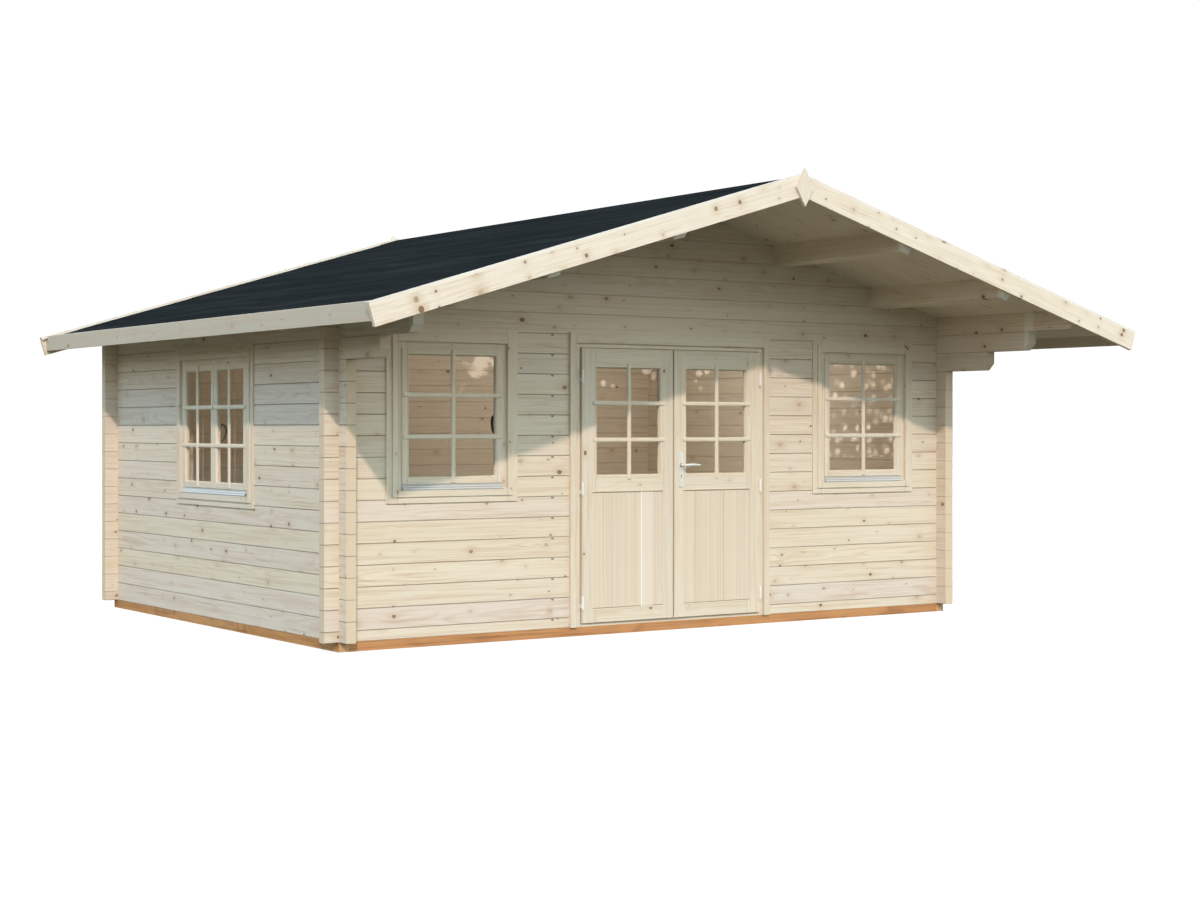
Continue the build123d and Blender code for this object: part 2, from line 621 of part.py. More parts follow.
def cabin():
    """Every piece by name."""
    bars = {"left": purlins(-1), "right": purlins(1)}
    all_bars = bars["left"] + bars["right"]
    pieces = {
        "foundation_side_beams": foundation_side_beams(),
        "foundation_cross_beams": foundation_cross_beams(),
        "floor_boards": floor_boards(),
        "front_wall_left": front_wall(-1),
        "front_wall_right": front_wall(1),
        "front_gable": gable(FRONT_Y, DOOR_HEAD_COURSE, all_bars),
        "rear_wall": gable(REAR_Y - LOG_THICKNESS, 0, all_bars),
        "left_wall": side_wall(-1),
        "right_wall": side_wall(1),
        "ridge_finials": [finial(FRONT_BARGE_Y - FINIAL_THICKNESS), finial(REAR_BARGE_Y)],
        "eave_fascias": [eave_fascia(-1), eave_fascia(1)],
        "door_frame": door_frame(),
        "door_trim": door_trim(),
        "handle_plates": handle_plates(),
        "door_lever": door_lever(),
    }
    leaf_knuckles, pieces["frame_hinge_knuckles"] = hinges()
    for side, sign in (("left", -1), ("right", 1)):
        pieces[f"{side}_purlins"] = bars[side]
        pieces[f"{side}_canopy_logs"] = canopy_logs(sign)
        pieces[f"{side}_eave_purlin"] = eave_purlin(sign)
        pieces[f"{side}_roof_boards"] = roof_slab(sign, roof_under, boards_top, EAVE_BOARD_X)
        pieces[f"{side}_roof_felt"] = roof_slab(sign, boards_top, felt_top, EAVE_BOARD_X)
        pieces[f"front_{side}_barge_board"] = barge_board(sign, FRONT_BARGE_Y)
        pieces[f"rear_{side}_barge_board"] = barge_board(sign, REAR_ROOF_Y)
        pieces[f"{side}_verge_caps"] = [verge_cap(sign, FRONT_BARGE_Y),
                                        verge_cap(sign, REAR_BARGE_Y - CAP_WIDTH)]
        pieces[f"{side}_door_leaf"], pieces[f"{side}_door_glass"] = leaf_parts(sign)
        pieces[f"{side}_door_knuckles"] = leaf_knuckles[sign]

    side_place = Pos(-HALF_WIDTH, SIDE_WINDOW_Y, 0) * Rot(0, 0, -90)
    side_hole = window_hole(side_place, SIDE_SASH_WIDTH, SIDE_WINDOW_BOTTOM)
    pieces["left_wall"] -= side_hole
    pieces["left_canopy_logs"] -= side_hole
    windows = {
        "front_left_window": (Pos(-FRONT_WINDOW_X, FRONT_Y, 0), FRONT_SASH_WIDTH, FRONT_WINDOW_BOTTOM, 1),
        "front_right_window": (Pos(FRONT_WINDOW_X, FRONT_Y, 0), FRONT_SASH_WIDTH, FRONT_WINDOW_BOTTOM, 1),
        "side_window": (side_place, SIDE_SASH_WIDTH, SIDE_WINDOW_BOTTOM, 2),
    }
    pieces["drip_sills"] = []
    for name, facts in windows.items():
        parts = window_parts(*facts)
        for part in ("frame", "glass", "trim"):
            pieces[f"{name}_{part}"] = parts[part]
        pieces["drip_sills"].append(parts["sill"])
    return pieces


def solids_of(shape):
    """Flat list of the solids in a shape or in a list of shapes."""
    if isinstance(shape, (list, tuple)):
        return [solid for item in shape for solid in solids_of(item)]
    return list(shape.solids())


for name, shape in cabin().items():
    export_step(Compound(solids_of(shape)), f"parts/{name}.step")
    print(name, len(solids_of(shape)))
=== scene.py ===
"""Finish of a spruce log cabin: wood, felt, glass and metal, and the boards, bars and fittings on the frame.

Metres, +Z up, front towards -Y. The ridge lies over X = 0 and runs along Y.
"""

import math

import bmesh
import bpy
import numpy as np
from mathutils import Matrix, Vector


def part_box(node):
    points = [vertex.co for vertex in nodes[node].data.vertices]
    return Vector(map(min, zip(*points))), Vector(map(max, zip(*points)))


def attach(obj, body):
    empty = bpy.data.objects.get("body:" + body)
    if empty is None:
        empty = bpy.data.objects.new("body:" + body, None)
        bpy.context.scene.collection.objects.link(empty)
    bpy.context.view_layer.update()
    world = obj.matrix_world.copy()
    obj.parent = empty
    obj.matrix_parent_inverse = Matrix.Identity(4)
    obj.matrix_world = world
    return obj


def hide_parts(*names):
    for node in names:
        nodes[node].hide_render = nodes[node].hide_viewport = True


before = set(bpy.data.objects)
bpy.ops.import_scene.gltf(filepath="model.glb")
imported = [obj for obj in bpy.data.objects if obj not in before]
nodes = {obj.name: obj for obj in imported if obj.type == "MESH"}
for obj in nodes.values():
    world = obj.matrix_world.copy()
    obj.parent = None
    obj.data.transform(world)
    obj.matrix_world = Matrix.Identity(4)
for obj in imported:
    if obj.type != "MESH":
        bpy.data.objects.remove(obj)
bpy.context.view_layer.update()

# Sizes that the CAD pieces share, read back from the frame
GROUND_BEAM_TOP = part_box("foundation_side_beams")[1].z
FRONT_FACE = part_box("front_wall_left")[0].y
REAR_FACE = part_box("rear_wall")[1].y
LEFT_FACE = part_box("foundation_side_beams")[0].x
RIGHT_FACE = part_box("foundation_side_beams")[1].x

# Sizes of the CAD pieces that no box gives
LOG_HEIGHT = 0.135
LOG_THICKNESS = 0.070
WALL_MIDDLE = LOG_THICKNESS / 2
ROOF_RISE = 0.298
SLOPE = math.atan(ROOF_RISE)
ROOF_BOARD_THICKNESS = 0.018
RIDGE_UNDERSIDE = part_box("left_roof_boards")[1].z - ROOF_BOARD_THICKNESS / math.cos(SLOPE)
BARGE_DEPTH = 0.123
GLASS_BITE = 0.008
SASH_STILE = 0.038
SASH_THICKNESS = 0.036
WINDOW_FRAME_SIDE = 0.051
WINDOW_TRIM_LAP = 0.015
DOOR_MIDDLE = 1.005

# Tones of the wood and the other finishes, linear
SPRUCE_PALE = (0.785, 0.692, 0.572, 1)
JOINERY_PALE = (0.77, 0.685, 0.555, 1)
SPRUCE_DARK = (0.58, 0.40, 0.25, 1)
SPRUCE_BLUSH = (0.76, 0.58, 0.42, 1)
# Painted shade in the joints between logs and boards
JOINT_SHADE_BROWN = (0.10, 0.065, 0.035, 1)
# Painted highlight on the front ends of the canopy logs and purlins
NOSE_HIGHLIGHT = (0.95, 0.92, 0.84, 1)
KNOT_BROWN = (0.19, 0.085, 0.032, 1)
KNOT_RIM = (0.05, 0.025, 0.012, 1)
END_TONE = (0.62, 0.42, 0.22, 1)
TREATED_PALE = (0.60, 0.29, 0.11, 1)
TREATED_DARK = (0.36, 0.15, 0.05, 1)
FELT_DARK = (0.016, 0.0195, 0.0215, 1)
FELT_PALE = (0.036, 0.0405, 0.042, 1)
BARGE_PALE = (0.84, 0.75, 0.62, 1)
CAP_PALE = (0.84, 0.77, 0.68, 1)
FASCIA_PALE = (0.555, 0.505, 0.395, 1)
PANEL_PALE = (0.75, 0.64, 0.513, 1)

WINDOWS = ("front_left_window", "front_right_window", "side_window")
BAR_LOOK = dict(figure=0.5, knots=0.0, pale=JOINERY_PALE, variety=0.2)


class Wiring:
    """Short calls that add nodes to one node tree. A value is a number, a tuple or a socket."""

    def __init__(self, tree):
        self.tree = tree

    def add(self, kind, inputs, **settings):
        node = self.tree.nodes.new("ShaderNode" + kind)
        for key, value in settings.items():
            setattr(node, key, value)
        self.fill(node.inputs, inputs)
        return node

    def fill(self, sockets, values):
        for label, value in values.items():
            if isinstance(value, bpy.types.NodeSocket):
                self.tree.links.new(value, sockets[label])
            else:
                sockets[label].default_value = value

    def math(self, operation, first, second=0.0, third=0.0, clamp=False):
        node = self.add("Math", {0: first, 1: second, 2: third}, operation=operation)
        node.use_clamp = clamp
        return node.outputs[0]

    def times(self, first, second, clamp=False):
        return self.math("MULTIPLY", first, second, clamp=clamp)

    def plus(self, first, second, clamp=False):
        return self.math("ADD", first, second, clamp=clamp)

    def minus(self, first, second, clamp=False):
        return self.math("SUBTRACT", first, second, clamp=clamp)

    def over(self, first, second):
        return self.math("DIVIDE", first, second)

    def times_plus(self, first, second, third):
        return self.math("MULTIPLY_ADD", first, second, third)

    def absolute(self, value):
        return self.math("ABSOLUTE", value)

    def vector(self, operation, first, second=(0, 0, 0)):
        node = self.add("VectorMath", {0: first, 1: second}, operation=operation)
        return node.outputs["Value" if operation == "LENGTH" else "Vector"]

    def split(self, vector):
        return self.add("SeparateXYZ", {0: vector}).outputs

    def join(self, x, y, z):
        return self.add("CombineXYZ", {0: x, 1: y, 2: z}).outputs[0]

    def bell(self, value):
        """exp(-value^2): 1 at zero, falling away on both sides."""
        return self.math("POWER", 2.718, self.times(self.times(value, value), -1.0))

    def noise(self, vector, scales=None, detail=2.0, roughness=0.5):
        if scales:
            vector = self.vector("MULTIPLY", vector, scales)
        inputs = {"Vector": vector, "Scale": 1.0, "Detail": detail, "Roughness": roughness}
        return self.add("TexNoise", inputs).outputs["Fac"]

    def span(self, value, low, high, to_low=0.0, to_high=1.0):
        """Smooth step: to_low below low, to_high above high."""
        node = self.add("MapRange", {0: value, 1: low, 2: high, 3: to_low, 4: to_high})
        node.interpolation_type = "SMOOTHSTEP"
        return node.outputs[0]

    def blend(self, factor, first, second):
        """Number that goes from first to second as factor goes from 0 to 1."""
        return self.add("Mix", {0: factor, 2: first, 3: second}, data_type="FLOAT").outputs[0]

    def scale(self, value, to_low, to_high):
        """Straight line from 0..1 to to_low..to_high."""
        return self.math("MULTIPLY_ADD", value, to_high - to_low, to_low)

    def mix(self, factor, first, second, blend="MIX"):
        node = self.add("Mix", {0: factor, 6: first, 7: second}, data_type="RGBA", blend_type=blend)
        return node.outputs[2]

    def relief(self, height, distance, strength=0.5):
        """Normal of a surface with relief, distance metres high."""
        inputs = {"Height": height, "Distance": distance, "Strength": strength}
        return self.add("Bump", inputs).outputs[0]

    def shade(self, values):
        """Feeds the material's own shader."""
        self.fill(self.tree.nodes["Principled BSDF"].inputs, values)

    def group(self, tree, inputs):
        node = self.add("Group", {}, node_tree=tree)
        self.fill(node.inputs, inputs)
        return node.outputs


def shader_group(name, inputs, outputs):
    """Empty node group with named sockets; returns its tree, wiring, inputs and outputs.

    inputs gives each one's default: a number, a colour, or None for a vector. outputs are numbers, and "Color".
    """
    tree = bpy.data.node_groups.new(name, "ShaderNodeTree")
    for label, default in inputs.items():
        kind = "Vector" if default is None else "Color" if isinstance(default, tuple) else "Float"
        socket = tree.interface.new_socket(label, in_out="INPUT", socket_type="NodeSocket" + kind)
        if default is not None:
            socket.default_value = default
    for label in outputs:
        kind = "Color" if label == "Color" else "Float"
        tree.interface.new_socket(label, in_out="OUTPUT", socket_type="NodeSocket" + kind)
    given, out = tree.nodes.new("NodeGroupInput"), tree.nodes.new("NodeGroupOutput")
    return tree, Wiring(tree), given.outputs, out.inputs


def make_course_group():
    """Which log or board a height lies in, its distance from that board's middle, and how near a joint is.

    board = floor((height - start) / spacing), local = height - middle of that board,
    joint = 1 at the joint, falling to 0 over the line width.
    """
    tree, w, given, out = shader_group("courses", {"Height": 0.0, "Start": 0.0, "Spacing": 0.1, "Line": 0.003},
                                       ["Board", "Local", "Joint"])
    turns = w.over(w.minus(given["Height"], given["Start"]), given["Spacing"])
    board = w.math("FLOOR", turns)
    local = w.times(w.minus(w.minus(turns, board), 0.5), given["Spacing"])
    to_joint = w.minus(w.times(given["Spacing"], 0.5), w.absolute(local))
    joint = w.minus(1.0, w.over(to_joint, given["Line"]), clamp=True)
    w.fill(out, {"Board": board, "Local": local, "Joint": joint})
    return tree


def make_knot_group():
    """Knots strewn along a board: one may lie in each cell of a stretched Voronoi grid.

    The knot's radius, darkness and presence come from its cell's random colour.
    Outputs the knot, its dark rim, and a swelling that bends the grain round it.
    """
    tree, w, given, out = shader_group(
        "knots", {"Along": 0.0, "Side": 0.0, "Board": 0.0, "Share": 0.5, "Size": 1.0}, ["Knot", "Rim", "Swell"])
    cell_long, cell_wide = 0.30, 0.125
    least_radius, radius_spread, soft_edge = 0.0028, 0.0095, 0.0022
    u = w.times_plus(given["Board"], 13.71, w.over(given["Along"], cell_long))
    v = w.times_plus(given["Board"], 7.37, w.over(given["Side"], cell_wide))
    place = w.join(u, v, 0.0)
    cells = w.add("TexVoronoi", {"Vector": place, "Scale": 1.0, "Randomness": 0.75},
                  voronoi_dimensions="2D")
    offset = w.vector("MULTIPLY", w.vector("SUBTRACT", place, cells.outputs["Position"]),
                      (cell_long * 0.72, cell_wide, 0.0))
    wobble = w.noise(w.join(w.times(u, 14.0), w.times(v, 7.0), given["Board"]))
    away = w.plus(w.vector("LENGTH", offset), w.scale(wobble, -0.002, 0.002))
    red, green, blue = w.split(cells.outputs["Color"])[:3]
    there = w.math("LESS_THAN", green, given["Share"])
    radius = w.times(w.times_plus(w.times(red, red), radius_spread, least_radius), given["Size"])
    near = w.minus(away, radius)
    strength = w.times(there, w.span(blue, 0.25, 0.75, 0.28, 1.0))
    rim = w.span(w.absolute(near), 0.0, soft_edge, 1.0, 0.0)
    reach = w.over(away, w.times_plus(radius, 2.2, 0.012))
    w.fill(out, {"Knot": w.times(w.span(near, -0.0012, soft_edge, 1.0, 0.0), strength),
                 "Rim": w.times(rim, strength),
                 "Swell": w.times(w.bell(reach), w.times(there, radius))})
    return tree


def make_spruce_group(knots):
    """Planed spruce: growth rings about a pith that wanders along the board, streaks, blush and knots.

    Grain is (along, depth, across) with depth and across measured from the board's middle.
    ring = a sine of the distance to the pith; its late wood is darker.
    """
    tree, w, given, out = shader_group(
        "spruce", {"Grain": None, "Board": 0.0, "Pale": SPRUCE_PALE, "Dark": SPRUCE_DARK, "Figure": 1.0,
                   "Knots": 0.5, "Knot size": 1.0, "End": 0.0, "Variety": 1.0},
        ["Color", "Roughness", "Height"])
    along, depth, across = w.split(given["Grain"])[:3]
    chance = w.add("TexWhiteNoise", {"W": given["Board"]}, noise_dimensions="1D")
    first, second, third = w.split(chance.outputs["Color"])[:3]
    shift = w.times(given["Board"], 3.17)
    side = w.plus(depth, across)
    knot, rim, swell = w.group(knots, {"Along": along, "Side": side, "Board": given["Board"],
                                       "Share": given["Knots"], "Size": given["Knot size"]})[:3]

    def grain_noise(lengthwise, crosswise, start=0.0, **finer):
        return w.noise(w.join(w.times_plus(along, lengthwise, start), w.times(depth, crosswise),
                              w.times(across, crosswise)), **finer)

    slow = w.noise(w.join(w.times_plus(along, 0.8, shift), w.times(depth, 3.0),
                          w.times_plus(across, 3.0, shift)), detail=3.0)
    to_pith_y = w.plus(depth, w.scale(first, -0.11, 0.11))
    to_pith_z = w.plus(across, w.scale(second, -0.05, 0.05))
    squares = w.plus(w.times(to_pith_y, to_pith_y), w.times(to_pith_z, to_pith_z))
    radius = w.plus(w.math("SQRT", squares), w.plus(w.scale(slow, -0.05, 0.05), swell))
    wave = w.math("SINE", w.times(radius, w.scale(third, 480.0, 760.0)))
    ring = w.math("POWER", w.scale(w.times_plus(wave, 0.5, 0.5), 0.0, 1.0), 2.2)
    ring = w.times(ring, w.span(grain_noise(1.3, 9.0, shift), 0.35, 0.7, 0.12, 1.0))
    streak = grain_noise(1.6, 70.0, shift, detail=4.0, roughness=0.6)
    fibre = grain_noise(9.0, 700.0)

    lines = w.times_plus(ring, 0.42, w.scale(w.span(streak, 0.42, 0.75), 0.0, 0.52))
    lines = w.times(w.times_plus(fibre, 0.14, lines), given["Figure"], clamp=True)
    tone = w.mix(lines, given["Pale"], given["Dark"])
    blush = w.times(w.span(slow, 0.45, 0.75), w.scale(third, 0.03, 0.28))
    tone = w.mix(blush, tone, w.mix(0.55, tone, SPRUCE_BLUSH))
    tint = w.join(w.scale(first, 0.93, 1.03), w.scale(first, 0.92, 1.035), w.scale(second, 0.89, 1.03))
    tone = w.mix(given["Variety"], tone, w.mix(1.0, tone, tint, blend="MULTIPLY"))
    warm_round_knot = w.times(w.times(swell, 60.0, clamp=True), 0.7)
    tone = w.mix(warm_round_knot, tone, given["Dark"])
    tone = w.mix(w.times(knot, 0.85), tone, KNOT_BROWN)
    tone = w.mix(w.times(rim, 0.7), tone, KNOT_RIM)

    end_rings = w.times_plus(w.math("SINE", w.times(w.math("SQRT", squares), 900.0)), 0.5, 0.5)
    end_tone = w.mix(w.times(end_rings, 0.45), w.mix(0.35, given["Pale"], END_TONE), END_TONE)
    relief = w.plus(w.times(fibre, 0.5), w.times(ring, 0.35))
    w.fill(out, {"Color": w.mix(given["End"], tone, end_tone),
                 "Roughness": w.scale(w.plus(fibre, w.times(given["End"], 0.3)), 0.56, 0.72),
                 "Height": w.minus(relief, w.times(knot, 0.6))})
    return tree


COURSES = make_course_group()
SPRUCE = make_spruce_group(make_knot_group())


def material(name):
    """New node material; returns it, its wiring and its coordinates."""
    made = bpy.data.materials.new(name)
    made.use_nodes = True
    w = Wiring(made.node_tree)
    return made, w, w.add("TexCoord", {}).outputs


def turned(w, vector, angle):
    """Coordinates turned about Y, so that X follows a roof slope."""
    return w.add("Mapping", {"Vector": vector, "Rotation": (0.0, angle, 0.0)}).outputs[0]


# For each grain direction: which coordinates are (along, depth, across)
GRAIN_AXES = {"x": (0, 1, 2), "y": (1, 0, 2), "z": (2, 1, 0), "z_side": (2, 0, 1), "x_flat": (0, 2, 1)}
HALF_UPRIGHT = 0.04
MARK_RADIUS = 0.010
GRAIN_RELIEF = 0.0006


def wood(name, grain, centre=(0, 0, 0), courses=None, lean=0.0, board=0.0, pale=SPRUCE_PALE, dark=SPRUCE_DARK,
         figure=1.0, knots=0.5, knot_size=1.0, joint_dark=0.75, rails=None, marks=None, variety=1.0,
         stretch=1.0, lines=()):
    """Spruce with its grain along one axis. board is a number that no other finish has, and seeds its figure.

    courses is (axis, start, spacing, line width) where one piece holds several logs or boards.
    rails is (inner edge, outer edge, pitch): level boards between two uprights, one pitch apart in height.
    marks is (x, drop): a small dark knot on every log, that far below the joint.
    stretch below 1 draws the grain out. Each of lines is (axis, place, half width, tone, strength): a line or
    band of another tone at that place. Along the joints the wood gets painted shade, as dark as the joint
    parameter sets.
    """
    made, w, coords = material(name)
    place, normal = coords["Object"], coords["Normal"]
    if lean:
        place, normal = turned(w, place, lean), turned(w, normal, lean)
    place = w.vector("SUBTRACT", place, centre)
    axes = GRAIN_AXES[grain]
    parts = list(w.split(place)[:3])
    spots = list(parts)
    joint = 0.0
    if courses:
        axis, start, spacing, line = courses
        found = w.group(COURSES, {"Height": parts[axis], "Start": start, "Spacing": spacing, "Line": line})
        parts[axis], joint = found["Local"], found["Joint"]
        board = w.plus(found["Board"], board)
    end = w.span(w.absolute(w.split(normal)[axes[0]]), 0.8, 0.95)
    if rails:
        near, far, pitch = rails
        along, across = parts[axes[0]], parts[axes[2]]
        away = w.absolute(across)
        level = w.times(w.math("GREATER_THAN", away, near), w.math("LESS_THAN", away, far))
        row = w.math("ROUND", w.over(along, pitch))
        in_rail = w.minus(along, w.times(row, pitch))
        in_upright = w.minus(away, far + HALF_UPRIGHT)
        parts[axes[0]] = w.blend(level, along, across)
        parts[axes[2]] = w.blend(level, in_upright, in_rail)
        row_board = w.times_plus(row, 3.0, board + 9.0)
        side_board = w.times_plus(w.math("GREATER_THAN", across, 0.0), 5.0, board)
        board = w.blend(level, side_board, row_board)
        # Painted shade in the seam where an upright meets the level boards, left off faces that lie along it
        joint = w.span(w.absolute(w.minus(away, far)), 0.0005, 0.0018, 0.8, 0.0)
        reveal = w.span(w.absolute(w.split(normal)[axes[2]]), 0.4, 0.7, 1.0, 0.0)
        joint = w.times(joint, reveal)
        end = w.times(end, w.minus(1.0, level))
    if stretch != 1.0:
        parts[axes[0]] = w.times(parts[axes[0]], stretch)
    found = w.group(SPRUCE, {"Grain": w.join(*[parts[axis] for axis in axes]), "Board": board, "Pale": pale,
                             "Dark": dark, "Figure": figure, "Knots": knots, "Knot size": knot_size, "End": end,
                             "Variety": variety})
    # Painted shade along the joints, uneven along their length
    uneven = w.noise(w.join(w.times(spots[axes[0]], 1.7), board, 0.0), detail=2.0)
    joint = w.times(joint, w.span(uneven, 0.3, 0.55, 0.6 * joint_dark, joint_dark))
    tone = w.mix(joint, found["Color"], JOINT_SHADE_BROWN)
    if marks:
        x, drop = marks
        off_x = w.times(w.minus(parts[0], x), 0.6)
        off_z = w.minus(LOG_HEIGHT / 2 - drop, parts[2])
        away = w.vector("LENGTH", w.join(off_x, 0.0, off_z))
        tone = w.mix(w.span(away, 0.3 * MARK_RADIUS, MARK_RADIUS, 0.75, 0.0), tone, KNOT_RIM)
    for axis, at, half, colour, strength in lines:
        away = w.absolute(w.minus(spots[axis], at))
        tone = w.mix(w.span(away, 0.6 * half, 1.2 * half, strength, 0.0), tone, colour)
    w.shade({"Base Color": tone, "Roughness": found["Roughness"],
             "Normal": w.relief(found["Height"], GRAIN_RELIEF)})
    return made


def dress(node, finish):
    """Gives a CAD node its finish."""
    mesh = nodes[node].data
    mesh.materials.clear()
    mesh.materials.append(finish)


def clad(node, *finish, **look):
    """Gives a CAD node its wood."""
    dress(node, wood(*finish, **look))


def log_wall_finishes():
    """Logs of the four walls, the canopy and the purlins."""
    foot = GROUND_BEAM_TOP
    line = 0.0045
    cross = (2, foot - LOG_HEIGHT / 2, LOG_HEIGHT, line)
    side = (2, foot, LOG_HEIGHT, line)
    plain = dict(knots=0.65, figure=0.85, variety=0.6)
    calm = dict(knots=0.4, figure=0.7, variety=0.3, joint_dark=0.36)
    in_front, behind = (0, FRONT_FACE + WALL_MIDDLE, 0), (0, REAR_FACE - WALL_MIDDLE, 0)
    clad("front_wall_right", "front_logs", "x", in_front, cross, board=3, **plain)
    clad("front_gable", "gable_logs", "x", in_front, cross, board=3, joint_dark=0.30, knots=0.8, figure=0.7,
         variety=0.4)
    clad("front_wall_left", "front_left_logs", "x", in_front, cross, board=3, marks=(-0.977, 0.009), **plain)
    clad("rear_wall", "rear_logs", "x", behind, cross, board=41, **calm)
    for sign, name, x, look in ((-1, "left", LEFT_FACE + WALL_MIDDLE, plain),
                                (1, "right", RIGHT_FACE - WALL_MIDDLE, calm)):
        clad(f"{name}_wall", f"{name}_logs", "y", (x, 0, 0), side, board=71 + 30 * sign, **look)
        # Pale band at the front end of each canopy log and the eave purlin: painted highlight where the light
        # from the front falls on the ends
        lit_end = (1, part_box(f"{name}_canopy_logs")[0].y, 0.05, NOSE_HIGHLIGHT, 0.5)
        canopy = wood(f"{name}_canopy_wood", "y", (x, 0, 0), side, board=71 + 30 * sign, knots=0.55,
                      joint_dark=0.45, figure=0.8, variety=0.5, lines=[lit_end])
        dress(f"{name}_canopy_logs", canopy)
        dress(f"{name}_eave_purlin", canopy)
        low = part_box(f"{name}_purlins")[0]
        # Pale band at each purlin's front end: painted highlight
        lit_end = (1, low.y, 0.07, NOSE_HIGHLIGHT, 0.75)
        clad(f"{name}_purlins", f"{name}_purlin_wood", "y", (sign * 1.2, 0, low.z), board=131 + sign * 7,
             figure=0.7, knots=0.3, variety=0.4, lines=[lit_end])


def board_finishes():
    """Barge boards, verge caps, fascias, finials, ground beams, trim and joinery."""
    joinery = dict(figure=0.7, knots=0.4, knot_size=0.8, variety=0.25, pale=JOINERY_PALE)
    doorway = (0, FRONT_FACE, DOOR_MIDDLE)
    for sign, name in ((-1, "left"), (1, "right")):
        lean = -sign * SLOPE
        for row, place in enumerate(("front", "rear")):
            low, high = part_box(f"{place}_{name}_barge_board")
            middle = high.z * math.cos(SLOPE) - BARGE_DEPTH / 2
            clad(f"{place}_{name}_barge_board", f"{place}_{name}_barge_wood", "x",
                 (0, (low.y + high.y) / 2, middle), lean=lean, board=201 + 2 * row + sign, figure=0.8,
                 knots=1.0, knot_size=1.5, variety=0.3, stretch=1.5, pale=BARGE_PALE)
        cap_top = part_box(f"{name}_verge_caps")[1].z * math.cos(SLOPE)
        clad(f"{name}_verge_caps", f"{name}_cap_wood", "x", (0, 0, cap_top), lean=lean, board=215 + sign,
             figure=0.5, knots=0.2, variety=0.2, pale=CAP_PALE)
        clad(f"{name}_door_leaf", f"{name}_leaf_wood", "z", doorway, board=401 + sign,
             rails=(0.102, 0.644, 0.87), **joinery)
    clad("eave_fascias", "fascia_wood", "y", (0, 0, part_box("eave_fascias")[0].z), board=230, figure=0.8,
         knots=0.4, pale=FASCIA_PALE, variety=0.4)
    clad("ridge_finials", "finial_wood", "z", board=236, figure=0.5, knots=0.2, variety=0.2)
    treated = dict(pale=TREATED_PALE, dark=TREATED_DARK, figure=1.4)
    clad("foundation_side_beams", "treated_side_wood", "y", (0, 0, 0.03), board=520, **treated)
    clad("foundation_cross_beams", "treated_cross_wood", "x", (0, 0, 0.03), board=530, **treated)
    clad("door_frame", "door_frame_wood", "z", doorway, board=540, rails=(-1, 0.758, 0.94), **joinery)
    clad("door_trim", "door_trim_wood", "z", doorway, board=541, rails=(-1, 0.798, 0.98), **joinery)
    for first, name in zip((550, 553, 556), WINDOWS):
        low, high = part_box(f"{name}_frame")
        middle = tuple((low + high) / 2)
        grain, axis, near = ("z_side", 1, SASH_STILE) if name == "side_window" else ("z", 0, -1)
        half = (high[axis] - low[axis]) / 2
        sash_rails = (near, half - WINDOW_FRAME_SIDE - SASH_STILE, 0.43)
        trim_rails = (-1, half - WINDOW_TRIM_LAP, 0.50)
        for number, part, rails in ((first, "frame", sash_rails), (first + 1, "trim", trim_rails)):
            clad(f"{name}_{part}", f"{name}_{part}_wood", grain, middle, board=number, rails=rails, **joinery)


def make_felt():
    """Mineral felt: grit, and broad soft streaks that follow the ridge."""
    made, w, coords = material("mineral_felt")
    x, y = w.split(coords["Object"])[:2]
    sway = w.noise(w.join(w.times(x, 0.8), w.times(y, 0.9), 3.0))
    streak = w.noise(w.join(w.times_plus(x, 7.0, w.times(sway, 2.5)), w.times(y, 0.55), 0.0), detail=3.0)
    grit = w.noise(coords["Object"], (900.0, 900.0, 900.0), detail=1.0)
    share = w.plus(w.span(streak, 0.4, 0.75, 0.0, 0.6), w.scale(grit, -0.15, 0.35), clamp=True)
    w.shade({"Base Color": w.mix(share, FELT_DARK, FELT_PALE), "Roughness": w.scale(grit, 0.85, 1.0),
             "Specular IOR Level": 0.0, "Normal": w.relief(grit, 0.0008, 0.6)})
    return made


def make_glass():
    """Clear pane that lets the sun through as well as the view."""
    made, w = material("clear_pane")[:2]
    shader = made.node_tree.nodes["Principled BSDF"]
    w.shade({"Base Color": (0.93, 0.93, 0.90, 1), "Roughness": 0.0, "IOR": 1.45, "Transmission Weight": 1.0})
    clear = w.add("BsdfTransparent", {"Color": (0.93, 0.93, 0.91, 1)})
    shadow = w.add("LightPath", {}).outputs["Is Shadow Ray"]
    both = w.add("MixShader", {0: shadow, 1: shader.outputs[0], 2: clear.outputs[0]})
    w.fill(made.node_tree.nodes["Material Output"].inputs, {"Surface": both.outputs[0]})
    return made


def make_metal(name, tone, rough, metallic):
    """Metal with fine uneven polish."""
    made, w, coords = material(name)
    uneven = w.noise(coords["Object"], (60.0, 60.0, 60.0), detail=3.0)
    w.shade({"Base Color": w.mix(w.scale(uneven, 0.0, 0.2), tone, (0.45, 0.45, 0.44, 1)),
             "Roughness": w.scale(uneven, rough, rough + 0.15), "Metallic": metallic})
    return made


def make_sill():
    """Folded pale sheet with fine level dark lines, painted shade of its rolled folds."""
    made, w, coords = material("folded_sheet")
    height = w.minus(w.split(coords["Object"])[2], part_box("drip_sills")[0].z)
    # Painted shade: dark level lines where the sheet's folds would be shaded
    fold_shade_pitch = 0.0135
    lines = w.span(w.math("SINE", w.times(height, 2 * math.pi / fold_shade_pitch)), 0.0, 0.9)
    dull = w.noise(coords["Object"], (9.0, 9.0, 60.0), detail=3.0)
    pale = w.mix(w.scale(dull, 0.0, 0.5), (0.68, 0.66, 0.63, 1), (0.56, 0.55, 0.53, 1))
    w.shade({"Base Color": w.mix(w.times(lines, 0.75), pale, (0.24, 0.24, 0.25, 1)),
             "Roughness": w.scale(dull, 0.35, 0.5), "Metallic": 0.15})
    return made


